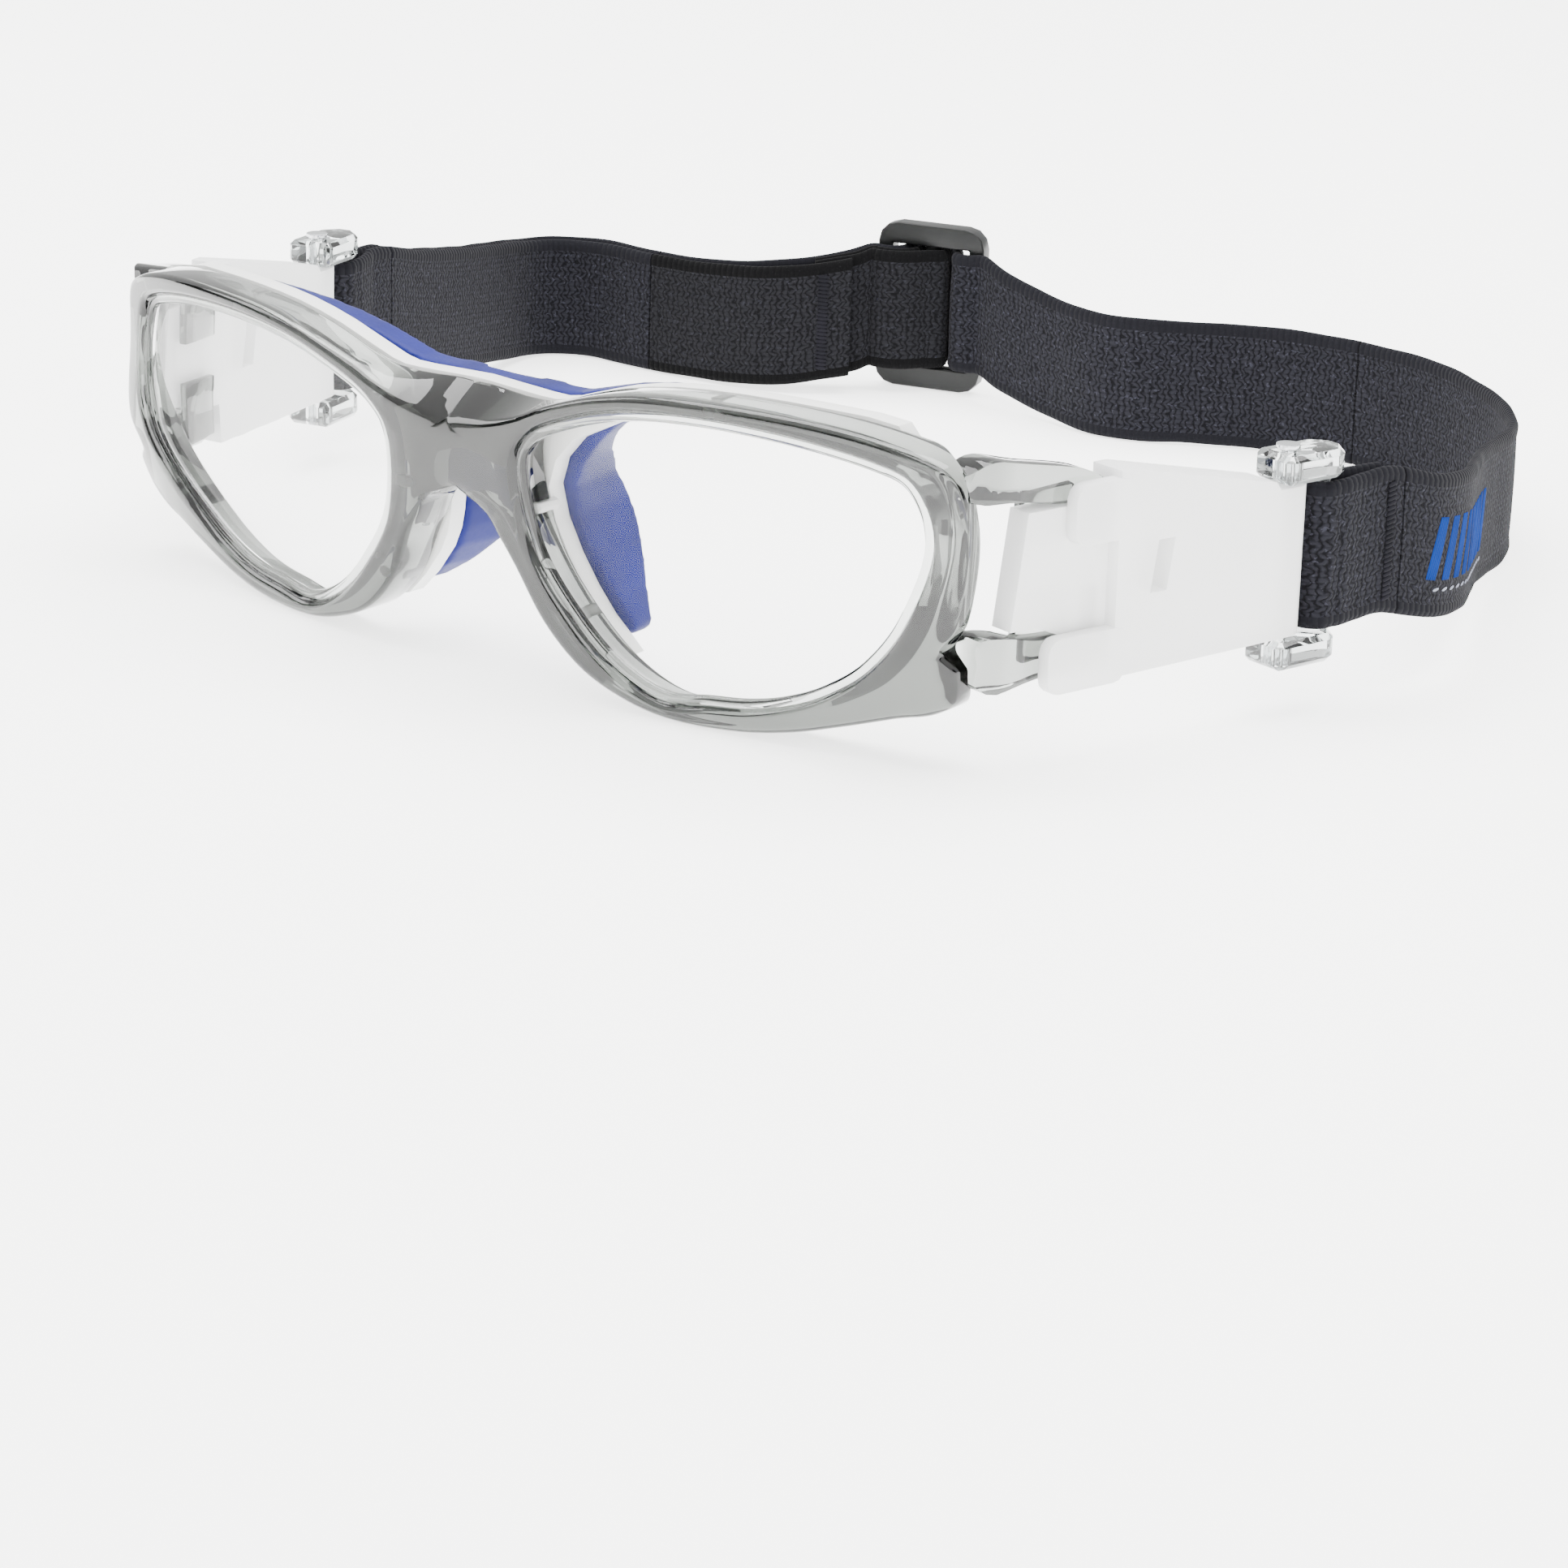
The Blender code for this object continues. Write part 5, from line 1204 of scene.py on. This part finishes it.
def band(name: str, path: Path, start: float, end: float, finish: Finish, thick: float,
         wave: float = 0.12 * MM) -> bpy.types.Object:
    """Weave one stretch of band: a soft cross-section with thicker, ribbed edges that follows a path.

    Args:
        name: The piece's name.
        path: The middle line.
        start: Distance along the line where the stretch starts.
        end: Distance where it ends.
        finish: Its material.
        thick: Thickness of the webbing.
        wave: How far the edges wander up and down.

    Returns:
        The piece, with its lengths along and across in the UV map "lay".
    """
    count = max(6, round((end - start) / SECTION_STEP))
    s = np.linspace(start, end, count + 1)
    base, side = path.at(s), path.side(s)
    # Half of the cross-section: height share and thickness share, from the lower edge cord to the upper one.
    cord = EDGE_CORD / STRAP_WIDTH
    heights = np.array([0.0, 0.012, 0.035, 0.5 * cord, cord, 1.25 * cord, 0.22, 0.36, 0.5, 0.64, 0.78,
                        1 - 1.25 * cord, 1 - cord, 1 - 0.5 * cord, 0.965, 0.988, 1.0])
    swell = np.array([0.30, 0.66, 0.90, 1.0, 0.92, 0.80, 0.86, 0.92, 0.94, 0.92, 0.86, 0.80, 0.92, 1.0, 0.90,
                      0.66, 0.30])
    edge = np.exp(-((np.minimum(heights, 1 - heights) / cord) ** 2))
    section_z = np.concatenate([heights, heights[::-1]])
    section_n = np.concatenate([swell, -swell[::-1]]) * thick / 2
    section_edge = np.concatenate([edge, edge[::-1]])
    rib = 0.05 * np.abs(np.sin(math.pi * s / (0.9 * MM)))
    sway = wave * (np.sin(s / (4.1 * MM)) + 0.6 * np.sin(s / (1.7 * MM) + 1.3))
    rows = np.empty((count + 1, len(section_z), 3))
    for i in range(count + 1):
        across = section_n * (1.0 - rib[i] * section_edge)
        rows[i] = base[i] + side[i] * across[:, None]
        rows[i, :, 2] += section_z * STRAP_WIDTH + sway[i] * (section_z - 0.5) * section_edge
    piece = ring_solid(name, rows, finish)
    around = len(section_z)
    along = s - start
    layer = piece.data.uv_layers.new(name="lay")
    for loop in piece.data.loops:
        row, spot = divmod(loop.vertex_index, around)
        layer.data[loop.index].uv = (along[row], section_z[spot] * STRAP_WIDTH)
    return shade(piece, 60.0)


@dataclass
class Strap:
    """Every stretch of the strap, its tacks and its woven-in marks."""

    route: Route = field(default_factory=Route)
    blend_run: float = 50.0 * MM
    slider_run: float = 16.0 * MM
    slider_ahead: float = 3.0 * MM
    slider_back: float = 22.0 * MM
    sewn_left: float = 13.0 * MM
    sewn_right: float = 10.5 * MM
    outer_split: float = 11.5 * MM
    hem_length: float = 34.0 * MM
    tack_in: float = 3.2 * MM
    tack_long: float = 1.5 * MM
    tack_proud: float = 0.05 * MM

    def __post_init__(self) -> None:
        """Work out the lines and where the stretches part."""
        r = self.route
        self.path = r.outer()
        bar_side = M.temple(M.pad_length + M.bar_spacing, M.pad_middle + r.turn_radius)
        self.seam_left = self.path.nearest(bar_side) + self.sewn_left
        self.back = self.path.nearest(r.waypoint(*r.left[9]))
        over = r.slider_bar + 2 * M.gap + r.loop_web + r.web / 2
        self.mid_slider = self.path.nearest(r.slider_place(0.0, over))
        self.leave = self.path.nearest(r.slider_place(r.slider_long / 2 + 0.7 * MM, -r.behind))
        self.hem = self.leave + r.hem_behind
        self.fed = self.path.nearest(r.waypoint(*r.right[3]))
        self.inner_path = r.inner(self.path, self.hem)

    def at(self, path: Path, s: float) -> Vector:
        """Return the row-frame place of a distance along a line, half way up the band."""
        x, y, z = path.at(s)
        return Vector((x, y, z + STRAP_WIDTH / 2)) + M.place

    def bend(self, piece: bpy.types.Object, node: Optional[str], bodies: tuple[str, str], start: Vector,
             end: Vector, slot: str = "strap_webbing") -> bpy.types.Object:
        """Let a piece stand for a node, with its transform baked into its mesh, and log two bodies.

        Args:
            piece: The piece.
            node: The frame node that it stands for, or None.
            bodies: The two bodies named in the log: the one before the start, and the one after the end.
            start: Not used.
            end: Not used.
            slot: Not used.

        Returns:
            The piece.
        """
        if node:
            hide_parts(node)
        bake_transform(piece)
        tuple(start)
        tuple(end)
        LOG.info("%s bends from %s to %s, %d faces", piece.name, *bodies, len(piece.data.polygons))
        return piece

    def stretch(self, node: str, path: Path, ends: Point2, bodies: tuple[str, str], start: Vector,
                end: Vector, finish: Finish = WEBBING) -> bpy.types.Object:
        """Weave one stretch of the strap and let it stand for a node.

        Args:
            node: The frame node that it stands for.
            path: The line it follows.
            ends: Distances along the line where it starts and ends.
            bodies: The two bodies named in the log.
            start: Where the bend starts.
            end: Where the bend ends.
            finish: Its material.

        Returns:
            The piece.
        """
        piece = band(node + "_finished", path, *ends, finish, self.route.web)
        return self.bend(piece, node, bodies, start, end)

    def left_side(self) -> list[bpy.types.Object]:
        """Build the sewn end at the left bar, its tack, and the run towards the back."""
        path, half = self.path, M.gap / 2
        bar, seam = M.bar, self.at(path, self.seam_left)
        bar_start = Vector((bar.x, bar.y, 0.0)) + M.place
        bar_start.z = seam.z
        far = self.at(path, self.seam_left + self.blend_run)
        held, loose = ("buckle_left", "temple_left"), ("temple_left", "frame")
        made = [self.stretch("strap_end_left", path, (0.0, self.seam_left - half), held, bar_start, seam)]
        tack = self.stitches("bar_tack_left_finished", path, self.seam_left - self.tack_in,
                             self.route.web / 2 + self.tack_proud, self.tack_long)
        made.append(self.bend(tack, "bar_tack_left", held, bar_start, seam, "thread"))
        made.append(self.stretch("strap_run_left", path, (self.seam_left + half, self.back - half), loose,
                                 seam, far))
        return made + [self.bend(mark, None, loose, seam, far) for mark in self.marks()]

    def right_side(self) -> list[bpy.types.Object]:
        """Build the turn at the right bar, the two layers behind it, and the hem."""
        path, inner, half = self.path, self.inner_path, M.gap / 2
        bar = Vector((-M.bar.x, M.bar.y, 0.0)) + M.place
        bar.z = self.at(path, path.total).z
        seam_out = path.total - self.outer_split
        seam_in = inner.nearest(path.beside(path.total - self.sewn_right, -self.route.lay))
        hem_start = inner.total - self.hem_length
        turn_start = inner.nearest(path.at(seam_out)[:2])
        near = self.at(path, path.total - self.sewn_right)
        far = self.at(path, path.total - self.sewn_right - self.blend_run)
        slider = self.at(path, self.leave + self.slider_ahead)
        feed_end = self.at(path, self.leave + self.slider_ahead + self.slider_run)
        held, loose = ("buckle_right", "temple_right"), ("temple_right", "frame")
        made = [self.stretch("strap_end_right", inner, (turn_start + half, seam_in - half), held, bar, near),
                self.stretch("strap_outer_right", path, (self.fed + half, seam_out - half), loose, near, far),
                self.stretch("strap_inner_right", inner, (seam_in + half, hem_start - half), loose, near,
                             far),
                self.stretch("strap_hem_right", inner, (hem_start + half, inner.total), ("slider", "frame"),
                             slider, feed_end, LOOP_WEB)]
        tack = self.stitches("bar_tack_right_finished", path, self.hem + self.tack_in,
                             -(self.route.lap + self.route.web / 2 + self.tack_proud), self.tack_long)
        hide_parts("bar_tack_right")
        return made + [report(tack, "slider")]

    def at_slider(self) -> list[bpy.types.Object]:
        """Build the stretches on both sides of the slider and the loop round its bar."""
        path, half = self.path, M.gap / 2
        before = self.at(path, self.leave - self.slider_back)
        start = self.at(path, self.leave - self.slider_back - self.slider_run)
        after = self.at(path, self.leave + self.slider_ahead)
        far = self.at(path, self.leave + self.slider_ahead + self.slider_run)
        made = [self.stretch("strap_back", path, (self.back + half, self.mid_slider - M.gap),
                             ("frame", "slider"), start, before),
                self.stretch("strap_feed_right", path, (self.mid_slider + M.gap, self.fed - half),
                             ("slider", "frame"), after, far)]
        line = self.route.loop(path, self.leave)
        loop = band("slider_loop_finished", line, 0.0, line.total, LOOP_WEB, self.route.loop_web, 0.06 * MM)
        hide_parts("slider_loop")
        return made + [report(loop, "slider")]

    def stitches(self, name: str, path: Path, s: float, offset: float, length: float) -> bpy.types.Object:
        """Sew a zigzag bar across the band: slanted stitches laid side by side.

        Args:
            name: The piece's name.
            path: The line the band follows.
            s: Distance along it where the bar stands.
            offset: Distance of the bar's middle to the right of the line.
            length: How far each stitch reaches along the band.

        Returns:
            The bar of stitches.
        """
        bm = bmesh.new()
        low, high = 1.8 * MM, STRAP_WIDTH - 1.8 * MM
        count = round((high - low) / (0.62 * MM))
        for i in range(count):
            z = low + (high - low) * (i + 0.5) / count
            self.yarn(bm, path, (s, z - 0.25 * MM), (s + length, z + 0.25 * MM), offset, 0.3 * MM, 0.16 * MM)
        return self.from_bmesh(name, bm, THREAD)

    def from_bmesh(self, name: str, bm: bmesh.types.BMesh, finish: Finish) -> bpy.types.Object:
        """Turn a bmesh in local places into a smooth piece in the row frame."""
        piece = piece_from(name, [(0, 0, 0)], [], finish, local=False)
        bmesh.ops.translate(bm, vec=M.place, verts=bm.verts)
        bm.to_mesh(piece.data)
        bm.free()
        return shade(piece, 70.0)

    def yarn(self, bm: bmesh.types.BMesh, path: Path, start: Point2, end: Point2, offset: float, half: float,
             rise: float) -> None:
        """Lay one flat, rounded float of yarn on the band.

        Args:
            bm: The bmesh to add to.
            path: The line the band follows.
            start: Distance along the line and height above its lower edge, at one end.
            end: The same at the other end.
            offset: Distance of the yarn's middle to the right of the line.
            half: Half of its width.
            rise: Half of its thickness at the middle.
        """
        run = np.array(end) - np.array(start)
        normal = np.array((-run[1], run[0])) / np.linalg.norm(run)
        count = max(4, round(float(np.linalg.norm(run)) / (0.6 * MM)))
        ring = []
        for i in range(count + 1):
            share = i / count
            swell = 0.35 + 0.65 * math.sin(math.pi * min(max(share, 0.02), 0.98)) ** 0.4
            here = np.array(start) + run * share
            row = []
            for turn in range(8):
                a = 2 * math.pi * turn / 8
                s, z = here + normal * half * swell * math.cos(a)
                out = offset + rise * swell * math.sin(a)
                x, y, low = path.at(s) + path.side(s) * out
                row.append(bm.verts.new((x, y, low + z)))
            ring.append(row)
        for first, second in zip(ring, ring[1:]):
            for k in range(8):
                bm.faces.new((first[k], first[(k + 1) % 8], second[(k + 1) % 8], second[k]))
        bm.faces.new(list(reversed(ring[0])))
        bm.faces.new(ring[-1])
        bmesh.ops.recalc_face_normals(bm, faces=bm.faces)

    def marks(self) -> list[bpy.types.Object]:
        """Weave the plain slanted bars and short dashes into the outside of the left run."""
        out = self.route.web / 2 * 0.94
        start = self.seam_left + 5.0 * MM
        bars, dashes = bmesh.new(), bmesh.new()
        for i in range(10):
            s = start + i * 3.6 * MM
            for k in range(5):
                shift = k * 0.40 * MM
                self.yarn(bars, self.path, (s + shift, 5.0 * MM), (s + 2.5 * MM + shift, 13.2 * MM), out,
                          0.25 * MM, 0.12 * MM)
        for i in range(15):
            s = start + 1.5 * MM + i * 2.3 * MM
            self.yarn(dashes, self.path, (s, 3.6 * MM), (s + 1.2 * MM, 3.9 * MM), out, 0.2 * MM, 0.09 * MM)
        return [self.from_bmesh("woven_bars", bars, BLUE_YARN),
                self.from_bmesh("woven_dashes", dashes, WHITE_YARN)]

    def build(self) -> list[bpy.types.Object]:
        """Build every stretch."""
        return self.left_side() + self.at_slider() + self.right_side()


# ---- floor, light and camera ------------------------------------------------------------------------------
@dataclass(frozen=True)
class Paper(Finish):
    """A seamless sheet of pale paper under the goggles."""

    colour: str
    glow: float = 0.0

    def fill(self, tree: bpy.types.NodeTree, shader: Any, output: Any) -> None:
        """Set a plain matt sheet."""
        shader.inputs["Base Color"].default_value = linear(self.colour)
        shader.inputs["Emission Color"].default_value = linear(self.colour)
        shader.inputs["Emission Strength"].default_value = self.glow
        self.roughness_noise(tree, shader, 1.5, 0.75, 0.85, 0.01)


@dataclass(frozen=True)
class Softbox:
    """One rectangular lamp."""

    name: str
    place: Point3
    target: Point3
    size: Point2
    power: float
    tint: str = "#ffffff"


@dataclass
class Studio:
    """A pale floor, soft light from above and both sides, and the camera."""

    camera_local: Point3 = (350.664 * MM, -383.152 * MM, 168.849 * MM)
    azimuth: float = 0.67190
    elevation: float = 0.26864
    roll: float = 0.029828
    focal: float = 100.47
    shift: Point2 = (0.0134, -0.1966)
    boxes: tuple[Softbox, ...] = (
        Softbox("overhead", (-0.05, 0.12, 0.95), (0.0, 0.0, 0.0), (1.2, 1.0), 31.0),
        Softbox("front_left", (0.75, -0.75, 0.65), (0.0, -0.02, 0.02), (0.5, 0.7), 9.0),
        Softbox("side_right", (-0.8, -0.35, 0.5), (0.0, 0.0, 0.02), (0.4, 0.8), 6.5),
    )
    # Black cards out of the picture: middle of the lower edge, heading of the card's face, width and height.
    cards: tuple[tuple[Point2, float, float, float], ...] = (
        ((0.10, -0.62), 90.0, 0.30, 0.16),
        ((-0.55, -0.30), 20.0, 0.34, 0.22),
        ((0.62, 0.10), 190.0, 0.26, 0.20),
    )

    def aim(self, place: Vector, target: Vector) -> Matrix:
        """Return a matrix at a place that looks at a target."""
        turn = (target - place).to_track_quat("-Z", "Y")
        return Matrix.Translation(place) @ turn.to_matrix().to_4x4()

    def lamp(self, box: Softbox) -> None:
        """Hang one softbox."""
        light = bpy.data.lights.new(box.name, "AREA")
        light.shape = "RECTANGLE"
        light.size, light.size_y = box.size
        light.energy = box.power
        light.color = linear(box.tint)[:3]
        lamp = bpy.data.objects.new(box.name, light)
        bpy.context.scene.collection.objects.link(lamp)
        lamp.matrix_world = self.aim(Vector(box.place), Vector(box.target))

    def floor(self) -> None:
        """Lay the paper."""
        size = 3.0
        paper = Paper("seamless_pale_paper", "#fbfbfa", 2.2)
        sheet = piece_from("floor", [(-size, -size, 0), (size, -size, 0), (size, size, 0), (-size, size, 0)],
                           [(0, 1, 2, 3)], paper, local=False)
        sheet.location.z = -0.0002

    def flags(self) -> None:
        """Stand the black cards that give the clear parts their dark edge lines."""
        card = Paper("black_card", "#050505")
        for i, ((x, y), heading, width, height) in enumerate(self.cards):
            turn = math.radians(heading)
            dx, dy = -math.sin(turn) * width / 2, math.cos(turn) * width / 2
            corners = [(x - dx, y - dy, 0.02), (x + dx, y + dy, 0.02), (x + dx, y + dy, 0.02 + height),
                       (x - dx, y - dy, 0.02 + height)]
            flag = piece_from(f"card_{i}", corners, [(0, 1, 2, 3)], card, local=False)
            flag.visible_camera = False
            flag.visible_shadow = False

    def world(self) -> None:
        """Fill the surroundings with a soft grey that brightens upward."""
        world = bpy.data.worlds.new("studio")
        world.use_nodes = True
        tree = world.node_tree
        place = add_node(tree, "TexCoord", {}, {})
        split = add_node(tree, "SeparateXYZ", {}, {"Vector": place.outputs["Generated"]})
        glow = ramp_of(tree, split.outputs["Z"], [(0.0, "#dcdddc"), (0.35, "#eeefee"), (1.0, "#ffffff")])
        background = tree.nodes["Background"]
        tree.links.new(glow, background.inputs["Color"])
        background.inputs["Strength"].default_value = 1.8
        bpy.context.scene.world = world

    def camera(self) -> None:
        """Set the camera at its measured place."""
        a, e, r = self.azimuth, self.elevation, self.roll
        forward = Vector((-math.sin(a) * math.cos(e), math.cos(a) * math.cos(e), -math.sin(e)))
        right = Vector((math.cos(a), math.sin(a), 0.0))
        up = right.cross(forward)
        x_axis = right * math.cos(r) + up * math.sin(r)
        y_axis = up * math.cos(r) - right * math.sin(r)
        turn = Matrix((x_axis, y_axis, -forward)).transposed().to_4x4()
        data = bpy.data.cameras.new("camera")
        data.lens = self.focal
        data.sensor_width = 36.0
        data.shift_x, data.shift_y = self.shift
        data.clip_start = 0.01
        camera = bpy.data.objects.new("camera", data)
        bpy.context.scene.collection.objects.link(camera)
        camera.matrix_world = Matrix.Translation(Vector(self.camera_local) + M.place) @ turn
        bpy.context.scene.camera = camera

    def build(self) -> None:
        """Build the studio."""
        self.floor()
        self.flags()
        self.world()
        for box in self.boxes:
            self.lamp(box)
        self.camera()


def main() -> None:
    """Build every sub-assembly in order, then the studio."""
    logging.basicConfig(level=logging.INFO, format="%(name)s: %(message)s")
    FrontFrame().build()
    Lens().build()
    Liner().build()
    TemplePads().build()
    Buckles().build()
    Slider().build()
    Strap().build()
    Studio().build()


if __name__ == "__main__":
    main()
